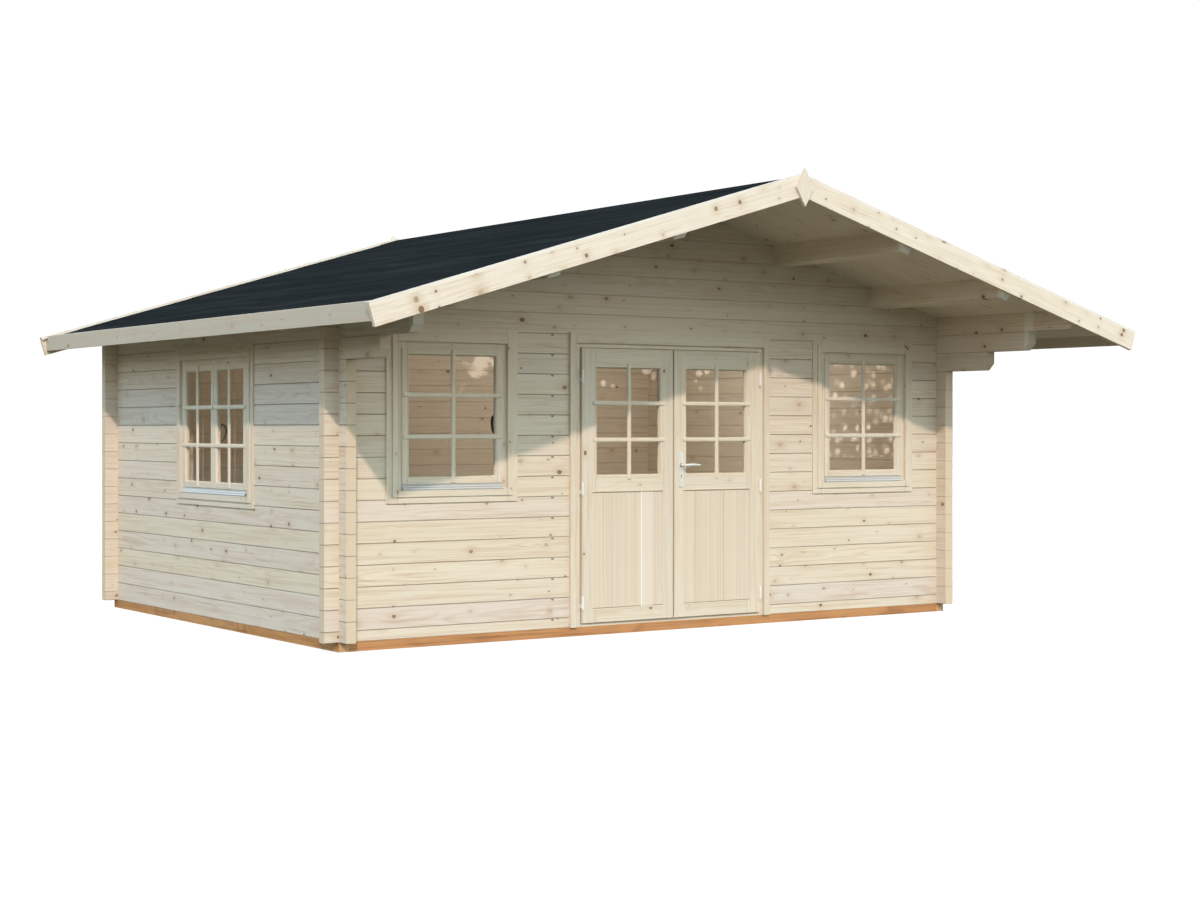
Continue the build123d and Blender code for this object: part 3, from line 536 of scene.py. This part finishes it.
FELT = make_felt()
HINGE_METAL = make_metal("zinced_steel", (0.95, 0.94, 0.91, 1), 0.35, 0.1)
HANDLE_METAL = make_metal("satin_handle", (0.92, 0.92, 0.90, 1), 0.22, 0.3)
CATCH_METAL = make_metal("dark_catch", (0.018, 0.016, 0.015, 1), 0.45, 0.2)
# Dark discs of painted shadow round the levers' necks and in the keyholes
NECK_AND_KEYHOLE_SHADE = make_metal("keyhole_shadow", (0.02, 0.02, 0.02, 1), 0.6, 0.0)


def small_finishes():
    """Glass and metal of the CAD pieces."""
    glass = make_glass()
    for node in nodes:
        if node.endswith("_glass"):
            dress(node, glass)
        if node.endswith("_knuckles"):
            dress(node, HINGE_METAL)
    dress("handle_plates", HANDLE_METAL)
    dress("drip_sills", make_sill())


def grid_faces(rows, columns, wrap_rows=False, wrap_columns=False):
    """Quads of a grid of points; a wrapped direction closes on itself."""
    row, column = np.meshgrid(np.arange(rows - (not wrap_rows)), np.arange(columns - (not wrap_columns)),
                              indexing="ij")
    next_row, next_column = (row + 1) % rows, (column + 1) % columns
    corners = [row * columns + column, row * columns + next_column,
               next_row * columns + next_column, next_row * columns + column]
    return np.stack(corners, axis=-1).reshape(-1, 4).tolist()


def tube_shell(points):
    """Closed shell of a (stations, outline, 3) array: quads along it and one face over each end."""
    stations, count = points.shape[:2]
    faces = grid_faces(stations, count, wrap_columns=True)
    faces += [list(range(count))[::-1], [(stations - 1) * count + index for index in range(count)]]
    return points.reshape(-1, 3), faces


def ring_shell(points):
    """Closed shell of a (corners, outline, 3) array whose last corner joins the first."""
    corners, count = points.shape[:2]
    return points.reshape(-1, 3), grid_faces(corners, count, True, True)


def together(shells):
    """One shell made of many."""
    points, faces, start = [], [], 0
    for shell_points, shell_faces in shells:
        points.append(shell_points)
        faces += [[start + index for index in face] for face in shell_faces]
        start += len(shell_points)
    return np.concatenate(points), faces


def add_object(name, data):
    made = bpy.data.objects.new(name, data)
    bpy.context.scene.collection.objects.link(made)
    return made


def put(name, shells, finish, body="cabin", replaces=(), smooth=False):
    """Makes a piece of one or more closed shells, faces outward, riding on a body."""
    points, faces = together(shells)
    mesh = bpy.data.meshes.new(name)
    mesh.from_pydata(points.tolist(), [], faces)
    solid = bmesh.new()
    solid.from_mesh(mesh)
    bmesh.ops.recalc_face_normals(solid, faces=solid.faces)
    solid.to_mesh(mesh)
    solid.free()
    if smooth:
        mesh.shade_smooth()
    mesh.materials.append(finish)
    piece = add_object(name, mesh)
    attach(piece, body)
    if replaces:
        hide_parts(*replaces)


class Face:
    """A flat face of the cabin: (across, up, out) on it become X, Y, Z."""

    def __init__(self, origin, across, out):
        self.origin = np.array(origin, float)
        self.across = np.array(across, float)
        self.out = np.array(out, float)

    def place(self, across, up, out):
        across, up, out = np.broadcast_arrays(across, up, out)
        return (self.origin + across[..., None] * self.across + out[..., None] * self.out
                + up[..., None] * np.array([0.0, 0.0, 1.0]))


def bar(face, start, end, outline):
    """Straight bar on a face from start to end (across, up); outline is (side, out) points of its section."""
    run = np.array(end, float) - start
    run /= np.linalg.norm(run)
    side, out = outline[:, 0], outline[:, 1]
    stations = [face.place(at[0] - side * run[1], at[1] + side * run[0], out) for at in (start, end)]
    return tube_shell(np.array(stations))


def mould_ring(face, left, right, bottom, top, outline):
    """Mitred frame on a face: section points (inward, out) set in from each corner of a rectangle."""
    corners = np.array([(left, bottom), (right, bottom), (right, top), (left, top)], float)
    inward = np.array([(1, 1), (-1, 1), (-1, -1), (1, -1)], float)
    flat = corners[:, None, :] + outline[None, :, 0, None] * inward[:, None, :]
    return ring_shell(face.place(flat[..., 0], flat[..., 1], outline[:, 1][None, :]))


def turned_shell(centre, axis, profile, sides):
    """Round piece: (radius, height) profile points turned about an axis, closed at both ends."""
    axis = np.array(axis, float)
    one = np.cross(axis, (0.3, 0.5, 0.81))
    one /= np.linalg.norm(one)
    two = np.cross(axis, one)
    angle = np.linspace(0, 2 * np.pi, sides, endpoint=False)
    radius, height = np.array(profile, float).T
    points = (np.array(centre, float) + height[:, None, None] * axis
              + radius[:, None, None] * (np.cos(angle)[:, None] * one + np.sin(angle)[:, None] * two))
    return tube_shell(points)


def section(width, height):
    """Section of a glazing bar: upright shoulders, sloped sides and a flat top."""
    half = width / 2
    rise = np.array([(-half, -0.001), (-half, 0.4 * height), (-0.6 * half, 0.93 * height),
                     (-0.45 * half, height)])
    return np.concatenate([rise, rise[::-1] * (-1, 1)])


def bead(depth):
    """Section of a glazing bead that slopes from the frame's face down to the pane, depth below it."""
    foot = 0.0004 - depth
    return np.array([(0.0, foot), (0.0, 0.0), (0.002, 0.0015), (0.005, 0.0015), (0.009, -0.003),
                     (0.014, foot + 0.002), (0.014, foot)])


PANEL_MOULD = np.array([(-0.003, -0.002), (-0.003, 0.0015), (0.001, 0.003), (0.005, 0.0015), (0.007, -0.004),
                        (0.007, -0.0075), (-0.002, -0.0075)])


def light_bars(face, left, right, bottom, top, lap_side, lap_ends):
    """Bars over one light: an upright in its middle and two level ones at its thirds, lapping the frame."""
    middle = (left + right) / 2
    shells = [bar(face, (middle, bottom - lap_ends), (middle, top + lap_ends), section(0.031, 0.0105))]
    for share in (1 / 3, 2 / 3):
        height = bottom + (top - bottom) * share
        shells.append(bar(face, (left - lap_side, height), (right + lap_side, height), section(0.029, 0.0085)))
    return shells


def fit_windows():
    """Glazing bars outside, beads outside and inside, and the catch on each sash's inner side."""
    for number, name in enumerate(WINDOWS):
        low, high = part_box(f"{name}_glass")
        frame_low, frame_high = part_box(f"{name}_frame")
        middle = (frame_low + frame_high) / 2
        bottom, top = low.z + GLASS_BITE, high.z - GLASS_BITE
        if name == "side_window":
            grain, depth_axis, across, outward = "z_side", 0, (0, -1, 0), (-1, 0, 0)
            half = (high.y - low.y) / 2 - GLASS_BITE
            lights, catch_at = [(-half, -SASH_STILE), (SASH_STILE, half)], (0.026, 1.350)
        else:
            grain, depth_axis, across, outward = "z", 1, (1, 0, 0), (0, -1, 0)
            half = (high.x - low.x) / 2 - GLASS_BITE
            hand = -1 if name == "front_right_window" else 1
            lights, catch_at = [(-half, half)], ((half + 0.010) * hand, 1.405)
        face_at = frame_low[depth_axis]
        back_at = face_at + SASH_THICKNESS
        outer, inner = np.array(middle), np.array(middle)
        outer[depth_axis], inner[depth_axis] = face_at, back_at
        outer[2] = inner[2] = 0.0
        outside = Face(outer, across, outward)
        inside = Face(inner, across, [-value for value in outward])
        recesses = ((outside, abs(low[depth_axis] - face_at)), (inside, back_at - high[depth_axis]))
        shells = []
        for left, right in lights:
            shells += light_bars(outside, left, right, bottom, top, 0.030, 0.024)
            for face, depth in recesses:
                shells.append(mould_ring(face, left, right, bottom, top, bead(depth)))
        bar_wood = wood(f"{name}_bar_wood", grain, tuple(middle), board=561 + number, **BAR_LOOK)
        put(f"{name}_bars", shells, bar_wood)
        put(f"{name}_catch", sash_catch(inside, *catch_at), CATCH_METAL, smooth=True)


def swept(path, side, widths, depths, count):
    """Rod along a path: at each point an ellipse, width along the given side direction, depth square to it.

    Points are path + width cos(t) side + depth sin(t) (side x direction of the path).
    """
    path, side = np.array(path, float), np.array(side, float)
    run = np.gradient(path, axis=0)
    run /= np.linalg.norm(run, axis=1)[:, None]
    other = np.cross(side, run)
    turn = np.linspace(0, 2 * np.pi, count, endpoint=False)
    points = (path[:, None, :] + np.array(widths)[:, None, None] * np.cos(turn)[None, :, None] * side
              + np.array(depths)[:, None, None] * np.sin(turn)[None, :, None] * other[:, None, :])
    return tube_shell(points)


def sash_catch(face, across, up):
    """Catch on a sash's inner side: a rose and a drop handle that bows away from the wood."""
    bow, length, stations = 0.048, 0.135, 16
    share = np.linspace(0, 1, stations)
    out = 0.006 + bow * np.sin(np.pi * np.clip(share * 1.12, 0, 1)) ** 0.4 * (1 - 0.2 * share)
    height = up + 0.066 - length * share ** 1.15
    path = face.place(np.full(stations, across), height, out)
    handle = swept(path, face.across, 0.0105 - 0.0025 * share, 0.008 - 0.002 * share, 12)
    rose_at = face.place(np.array(across), np.array(up + 0.045), np.array(0.0))
    rose = turned_shell(rose_at, face.out, [(0.014, 0.0), (0.014, 0.004), (0.011, 0.008)], 16)
    return [handle, rose]


# Recessed panel of a leaf: near edge, far edge, bottom and top, in distance from the meeting line and height
PANEL = (0.082, 0.675, 0.170, 0.965)
PANEL_BOARD_WIDTH = 0.1186
# Lines on it: painted shade along the bottom and the top, next to the mouldings, and lighter and darker lines
# and bands on single boards
PANEL_SHADE_TONE = (0.16, 0.11, 0.07, 1)
PANEL_SHADE_LINES = [(2, 0.1795, 0.0030, PANEL_SHADE_TONE, 0.8), (2, 0.9560, 0.0030, PANEL_SHADE_TONE, 0.65)]
PANEL_LINES = {"left": PANEL_SHADE_LINES + [(0, -0.266, 0.0050, (0.97, 0.92, 0.84, 1), 0.9),
                                      (0, -0.215, 0.050, (0.86, 0.76, 0.67, 1), 0.5)],
               "right": PANEL_SHADE_LINES + [(0, 0.438, 0.0032, (0.60, 0.36, 0.20, 1), 0.75),
                                       (0, 0.189, 0.0020, (0.34, 0.25, 0.16, 1), 0.7)]}


def fit_leaves():
    """Bars on the front of the two door leaves; beads, panel boards and mouldings on both faces."""
    low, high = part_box("left_door_leaf")
    glass_low, glass_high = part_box("left_door_glass")
    faces = ((-1, low.y, glass_low.y - low.y), (1, high.y, high.y - glass_high.y))
    light = (-glass_high.x + GLASS_BITE, -glass_low.x - GLASS_BITE, glass_low.z + GLASS_BITE,
             glass_high.z - GLASS_BITE)
    for sign, name in ((-1, "left"), (1, "right")):
        body = f"{name}_door"
        bar_wood = wood(f"{name}_leaf_bar_wood", "z", (sign * 0.38, FRONT_FACE, 0), board=581 + sign,
                        **BAR_LOOK)
        joints = (0, PANEL[0] * sign, PANEL_BOARD_WIDTH, 0.0012)
        panel_wood = wood(f"{name}_panel_wood", "z", (0, FRONT_FACE, 0), joints, board=591 + 10 * sign,
                          figure=0.65, knots=0.0, joint_dark=0.3, variety=0.2, stretch=0.3,
                          pale=PANEL_PALE, lines=PANEL_LINES[name])
        bars, mouldings, boards = [], [], []
        for out, y, recess in faces:
            face = Face((0, y, 0), (sign, 0, 0), (0, out, 0))
            bars += light_bars(face, *light, 0.024, 0.020) if out < 0 else []
            bars.append(mould_ring(face, *light, bead(recess)))
            mouldings.append(mould_ring(face, *PANEL, PANEL_MOULD))
            boards.append(panel_boards(face, *PANEL))
        put(f"{name}_leaf_bars", bars, bar_wood, body)
        put(f"{name}_leaf_mouldings", mouldings, bar_wood, body)
        put(f"{name}_leaf_boards", boards, panel_wood, body)


# On the handle plates, in height from the spindle: (height, radius) of the dark disc of painted shadow round
# the lever's neck and of the keyhole; the screws
NECK_AND_KEYHOLE_SHADOWS = ((0.0, 0.0130), (-0.072, 0.0045), (-0.080, 0.0028), (-0.086, 0.0024))
SCREW_HEIGHTS = (-0.136, 0.078)
SCREW = [(0.0042, -0.001), (0.0042, 0.0006), (0.003, 0.0014), (0.0012, 0.0017)]


def fit_handle():
    """Tapered levers on both faces of the right leaf; on their plates, dark discs of painted shadow round each
    lever's neck and in the keyhole, and the screws.
    """
    low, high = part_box("door_lever")
    plate_low, plate_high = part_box("handle_plates")
    x, z = (plate_low.x + plate_high.x) / 2, (low.z + high.z) / 2
    radius, corner, tip_x = 0.008, 0.014, high.x - 0.028
    turns, stations = 5, 12
    levers, shadow_discs, screws = [], [], []
    for out, face_y, grip_y in ((-1, plate_low.y, low.y + radius), (1, plate_high.y, high.y - radius)):
        turn = np.linspace(0, np.pi / 2, turns + 2)[1:-1]
        bend = np.stack([x + corner * (1 - np.cos(turn)), grip_y - out * corner * (1 - np.sin(turn)),
                         np.full(turns, z)], axis=1)
        share = np.linspace(0, 1, stations)
        reach = x + corner + (tip_x - x - corner) * share
        blade = np.stack([reach, np.full(stations, grip_y), z + 0.004 * np.sin(np.pi * share)], axis=1)
        neck = [(x, face_y + out * 0.0004, z), (x, face_y + out * 0.004, z), (x, grip_y - out * corner, z)]
        path = np.concatenate([neck, bend, blade])
        tall = np.concatenate([[0.0085, 0.0085, 0.008], np.full(turns, 0.0085), 0.0095 - 0.004 * share ** 1.4])
        deep = np.concatenate([[0.0085, 0.0085, 0.008], np.full(turns, 0.0075), 0.0065 - 0.003 * share])
        levers.append(swept(path, (0, 0, 1), tall, deep, 14))
        # The first disc is painted shadow round the lever's neck; the others paint the keyhole's shade
        for up, wide in NECK_AND_KEYHOLE_SHADOWS:
            shadow_discs.append(turned_shell((x, face_y, z + up), (0, out, 0), [(wide, -0.001), (wide, 0.0003)], 14))
        for up in SCREW_HEIGHTS:
            screws.append(turned_shell((x, face_y, z + up), (0, out, 0), SCREW, 14))
    put("door_handle_levers", levers, HANDLE_METAL, "door_handle",
        replaces=("door_lever",), smooth=True)
    put("handle_neck_and_keyhole_shadows", shadow_discs, NECK_AND_KEYHOLE_SHADE, "right_door")
    put("handle_screws", screws, HANDLE_METAL, "right_door")


def drive_nails():
    """Round nail heads along the outer edges of the trim boards."""
    head = [(0.0028, -0.001), (0.0028, 0.0003), (0.0015, 0.0007)]
    edge, door_trim_face, window_trim_face = 0.018, FRONT_FACE - 0.022, FRONT_FACE - 0.012
    spots = []
    for name in WINDOWS[:2]:
        low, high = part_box(f"{name}_trim")
        sides, heights = (low.x + edge, high.x - edge), np.linspace(low.z + 0.05, high.z - 0.05, 5)
        spots += [(x, up) for x in sides for up in heights]
        sides, heights = np.linspace(low.x + 0.2, high.x - 0.2, 3), (low.z + edge, high.z - edge)
        spots += [(x, up) for x in sides for up in heights]
    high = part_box("door_trim")[1]
    spots += [(sign * (high.x - 0.024), up) for sign in (-1, 1) for up in np.linspace(0.16, 1.9, 7)]
    shells = [turned_shell((x, door_trim_face if abs(x) < 1 else window_trim_face, up), (0, -1, 0), head, 10)
              for x, up in spots]
    put("trim_nails", shells, HINGE_METAL)


def v_jointed(start, end, pitch, depth, half_joint=0.0014, crown=0.0003):
    """Profile of boards side by side: positions along, and rises, with a V at each joint and a slight crown."""
    count = max(1, round((end - start) / pitch))
    width = (end - start) / count
    local = np.array([half_joint, width * 0.25, width * 0.5, width * 0.75, width - half_joint, width])
    rise = np.array([0.0, crown, crown * 1.3, crown, 0.0, -depth])
    along = (start + width * np.arange(count)[:, None] + local[None, :]).ravel()[:-1]
    rises = np.tile(rise, count)[:-1]
    return np.concatenate([[start], along, [end]]), np.concatenate([[-depth], rises, [-depth]])


def board_section(along, shaped, flat):
    """Section of boards side by side: along the shaped face, and back along the flat one."""
    return np.concatenate([along, along[::-1]]), np.concatenate([shaped, np.full(len(along), flat)])


def plank_shell(along, shaped, flat, ends):
    """Boards side by side along Y, carried from one end to the other; each end is (x, height)."""
    y, z = board_section(along, shaped, flat)
    return tube_shell(np.array([np.stack([np.full_like(y, x), y, height + z], axis=-1) for x, height in ends]))


def panel_boards(face, left, right, bottom, top):
    """Upright boards with V joints, lying on the leaf's recessed panel."""
    across, rise = v_jointed(left, right, PANEL_BOARD_WIDTH, 0.0010)
    outline_across, outline_out = board_section(across, -0.0050 + rise, -0.0085)
    return tube_shell(np.array([face.place(outline_across, up, outline_out) for up in (bottom, top)]))


def roof_under(x):
    """Height of the underside of the roof boards at a distance from the ridge."""
    return RIDGE_UNDERSIDE - ROOF_RISE * np.abs(x)


# Felt: height of its underside over that of the roof boards, its thickness, and the width of a course
FELT_BED = 0.0188
FELT_THICKNESS = 0.0031
FELT_COURSE = 0.93


def lay_roof():
    """Roof boards with V joints below and felt in lapped courses above."""
    rng = np.random.default_rng(7)
    for sign, name in ((-1, "left"), (1, "right")):
        low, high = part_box(f"{name}_roof_boards")
        eave = max(abs(low.x), abs(high.x))
        along, rise = v_jointed(low.y, high.y, 0.096, 0.0025, 0.0016, 0.0002)
        cup = np.repeat(rng.uniform(-0.0004, 0.0004, len(along) // 6 + 1), 6)[:len(along)]
        under = np.maximum(-rise + cup, -0.0003)
        ends = [(x, roof_under(x)) for x in (0.0, sign * eave)]
        finish = wood(f"{name}_roof_board_wood", "x", (0, low.y, RIDGE_UNDERSIDE * math.cos(SLOPE)),
                      (1, 0.0, 0.0961, 0.0015), lean=-sign * SLOPE, board=301 + 80 * sign, knots=0.4,
                      figure=0.55, joint_dark=0.15, variety=0.25)
        put(f"{name}_roof_planks", [plank_shell(along, under, FELT_BED, ends)], finish,
            replaces=(f"{name}_roof_boards",))
        put(f"{name}_felt_courses", [felt_shell(sign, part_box(f"{name}_roof_felt"))], FELT,
            replaces=(f"{name}_roof_felt",), smooth=True)


def ripple(x, y, seed):
    """Soft unevenness of laid felt: a sum of long waves with seeded directions and phases, 1 high."""
    rng = np.random.default_rng(seed)
    total = np.zeros(np.broadcast(x, y).shape)
    for wave in range(14):
        across, along, phase = rng.uniform(4, 26), rng.uniform(0.6, 4.5), rng.uniform(0, 2 * np.pi)
        total += np.sin(across * x + along * y * rng.choice((-1, 1)) + phase) / (2 + 0.25 * wave)
    return total / 3


def felt_shell(sign, box):
    """Felt on one slope: height = roof + lap step + ripple, ending against the fascia's inner face.

    Each course laps the one below it by a step of 2.2 mm.
    """
    low, high = box
    eave = max(abs(low.x), abs(high.x))
    laps = np.arange(1, 4) * FELT_COURSE
    x = np.unique(np.concatenate([np.linspace(0, eave - 0.006, 130), laps - 0.0004, laps + 0.0004]))
    y = np.linspace(low.y, high.y, 170)
    flat_ends = np.clip(np.minimum(y - low.y, high.y - y) / 0.12, 0, 1)[:, None]
    lap = 0.0022 * (x / FELT_COURSE - np.floor(x / FELT_COURSE)) * (x < 3 * FELT_COURSE)
    waves = 0.0011 * ripple(x[None, :], y[:, None], 5 + sign) * flat_ends
    height = roof_under(x) + FELT_BED + FELT_THICKNESS + lap + waves
    lip_x = np.array([eave - 0.003, eave - 0.0006, eave - 0.0004])
    lip_z = roof_under(eave) + np.array([0.0225, 0.0218, 0.0195])
    under_x = np.array([eave - 0.03, 0.0])
    under_z = roof_under(under_x) + 0.0186
    ones = np.ones((len(y), 1))
    points_x = np.concatenate([x, lip_x, under_x])[None, :] * ones * sign
    points_z = np.concatenate([height, ones * lip_z, ones * under_z], axis=1)
    points_y = y[:, None] * np.ones_like(points_x)
    return tube_shell(np.stack([points_x, points_y, points_z], axis=-1))


def ridge_strip():
    """Folded strip of felt over the ridge: two thin leaves that follow the slopes from the fold."""
    low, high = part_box("left_roof_felt")
    x = np.array([0.0, 0.02, 0.06, 0.12, 0.16, 0.162, 0.158, 0.0])
    lift = np.array([0.0055, 0.0058, 0.0052, 0.0048, 0.0045, 0.001, -0.001, -0.001])
    x = np.concatenate([-x[::-1][1:], x[:-1]])
    lift = np.concatenate([lift[::-1][1:], lift[:-1]])
    y = np.linspace(low.y, high.y, 60)
    z = roof_under(x) + FELT_BED + FELT_THICKNESS + lift
    z = z[None, :] + 0.0006 * ripple(x[None, :], y[:, None], 19)
    points = np.stack([x[None, :] * np.ones_like(z), y[:, None] * np.ones_like(z), z], axis=-1)
    put("ridge_felt_strip", [tube_shell(points)], FELT, smooth=True)


def lay_floor():
    """Floor boards with V joints."""
    width = 0.09
    low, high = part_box("floor_boards")
    along, rise = v_jointed(low.y, high.y, width, 0.002, 0.001, 0.0)
    shell = plank_shell(along, high.z + rise, low.z, [(low.x, 0.0), (high.x, 0.0)])
    finish = wood("floor_board_wood", "x_flat", (0, low.y, high.z), (1, 0.0, width, 0.0012), board=500)
    put("floor_planks", [shell], finish, replaces=("floor_boards",))


# Bright spots that the front panes mirror: (across, up, half width, half height, brightness), as slopes
GLINTS = ((0.5940, 0.0360, 0.0115, 0.0120, 1.6), (0.6777, 0.0269, 0.0026, 0.0026, 1.8),
          (0.6849, 0.0240, 0.0020, 0.0020, 1.1), (0.7097, 0.0339, 0.0024, 0.0022, 1.4),
          (0.7149, 0.0298, 0.0020, 0.0020, 1.0), (0.7488, 0.0321, 0.0026, 0.0026, 1.7),
          (0.7550, 0.0340, 0.0024, 0.0022, 1.9), (0.7465, 0.0278, 0.0020, 0.0020, 1.1),
          (0.7504, 0.0235, 0.0020, 0.0020, 0.8))

# Light from the sky: the band above the horizon on the left and in front, a lower one, and the rest
BAND_LEFT = (1.36, 2.13, 2.88, 1)
BAND_FRONT = (1.68, 2.20, 2.42, 1)
LOW_BAND = (2.62, 2.72, 2.50, 1)
HIGH_SKY = (0.10, 0.11, 0.10, 1)
BACKDROP_DIM = (0.20, 0.16, 0.10, 1)
BACKDROP_BRIGHT = (5.6, 4.8, 3.7, 1)


def light_the_sky():
    """White to the eye, with soft light in a band above the horizon, cooler from the left.

    Reflections show a dim brown backdrop with bright spots instead. Height is the sine of the elevation:
    band = exp(-((height - 0.48) / 0.21)^2), and a lower lobe about 0.19.
    """
    world = bpy.data.worlds.new("sky")
    world.use_nodes = True
    bpy.context.scene.world = world
    w = Wiring(world.node_tree)
    path = w.add("LightPath", {}).outputs
    direction = w.add("TexCoord", {}).outputs["Generated"]
    x, y, height = w.split(direction)[:3]

    def lobe(middle, spread):
        return w.bell(w.over(w.minus(height, middle), spread))

    side = w.span(x, -0.9, -0.1)
    band_tone = w.mix(side, BAND_LEFT, BAND_FRONT)
    glow = w.mix(lobe(0.48, 0.21), HIGH_SKY, band_tone)
    glow = w.mix(w.times(lobe(0.19, 0.09), w.scale(side, 0.92, 1.0)), glow, LOW_BAND, blend="ADD")
    glow = w.mix(1.0, glow, w.join(*[w.span(x, -0.45, 0.6, 0.82, 1.10)] * 3), blend="MULTIPLY")

    fine = w.noise(direction, (200.0, 200.0, 230.0), detail=3.0, roughness=0.6)
    coarse = w.noise(direction, (95.0, 95.0, 110.0), detail=4.0, roughness=0.6)
    forward = w.math("MAXIMUM", w.times(y, -1.0), 0.05)
    across, up = w.over(x, forward), w.over(height, forward)
    to_right = w.span(across, 0.80, 0.85)
    cell = 0.0070
    spot_place = w.join(w.over(across, cell), w.over(up, cell), 0.0)
    cells = w.add("TexVoronoi", {"Vector": spot_place, "Scale": 1.0, "Randomness": 1.0},
                  voronoi_dimensions="2D")
    chance, force = w.split(cells.outputs["Color"])[:2]
    ragged = w.plus(cells.outputs["Distance"], w.scale(fine, -0.35, 0.35))
    patches = w.times(w.span(ragged, 0.02, 0.52, 1.0, 0.0), w.span(chance, 0.12, 0.3))
    patches = w.times(patches, w.times_plus(w.math("POWER", force, 2.0), 2.0, 0.60))
    light = w.times(patches, to_right)
    for at_across, at_up, wide, high, bright in GLINTS:
        off = w.join(w.over(w.minus(across, at_across), wide), w.over(w.minus(up, at_up), high), 0.0)
        ragged = w.plus(w.vector("LENGTH", off), w.scale(coarse, -2.2, 2.2))
        light = w.plus(light, w.span(ragged, 0.6, 1.15, bright, 0.0))
    backdrop = w.mix(w.times(light, 0.5), BACKDROP_DIM, BACKDROP_BRIGHT)
    mirrored = w.mix(w.span(height, 0.16, 0.34), backdrop, glow)
    lit = w.mix(path["Is Glossy Ray"], glow, mirrored)
    w.fill(world.node_tree.nodes["Background"].inputs,
           {"Color": w.mix(path["Is Camera Ray"], lit, (1.05, 1.05, 1.05, 1))})

    lamp_data = bpy.data.lights.new("room light", "POINT")
    lamp_data.energy = 35.0
    lamp_data.shadow_soft_size = 0.35
    lamp_data.color = (0.94, 1.0, 1.03)
    lamp = add_object("room light", lamp_data)
    lamp.location = (1.1, 0.6, 1.75)
    lamp.visible_camera = lamp.visible_transmission = lamp.visible_glossy = False


def stage():
    """Pale floor, soft sky, a warm sun from the front left, and the camera."""
    edge, level = 60.0, -0.0005
    mesh = bpy.data.meshes.new("floor")
    corners = [(-edge, -edge, level), (edge, -edge, level), (edge, edge, level), (-edge, edge, level)]
    mesh.from_pydata(corners, [], [(0, 1, 2, 3)])
    floor = add_object("floor", mesh)
    made, w = material("pale_floor")[:2]
    seen = w.add("LightPath", {}).outputs["Is Camera Ray"]
    w.shade({"Base Color": w.mix(seen, (0.100, 0.100, 0.070, 1), (0.30, 0.30, 0.30, 1)), "Roughness": 0.9,
             "Emission Color": (1, 1, 1, 1), "Emission Strength": w.scale(seen, 0.0, 0.75)})
    mesh.materials.append(made)

    light_the_sky()
    sun_data = bpy.data.lights.new("sun", "SUN")
    sun_data.energy = 2.0
    sun_data.angle = math.radians(1.2)
    sun_data.color = (1.0, 0.845, 0.765)
    sun = add_object("sun", sun_data)
    right, back, down = 0.85, 1.415, 1.02  # the way the light travels
    sun.rotation_euler = (math.atan2(math.hypot(right, back), down), 0.0, math.atan2(-right, back))

    lens = bpy.data.cameras.new("camera")
    lens.sensor_width = 36.0
    lens.lens = 61.0
    lens.shift_y = -23.7 / 1200
    lens.clip_end = 200.0
    camera = add_object("camera", lens)
    camera.location = (-8.261, -12.651, 1.402)
    camera.rotation_euler = (math.radians(90), 0.0, math.radians(-34.04))
    bpy.context.scene.camera = camera
    bpy.context.scene.view_settings.view_transform = "Standard"


log_wall_finishes()
board_finishes()
small_finishes()
fit_windows()
fit_leaves()
fit_handle()
drive_nails()
lay_roof()
ridge_strip()
lay_floor()
stage()
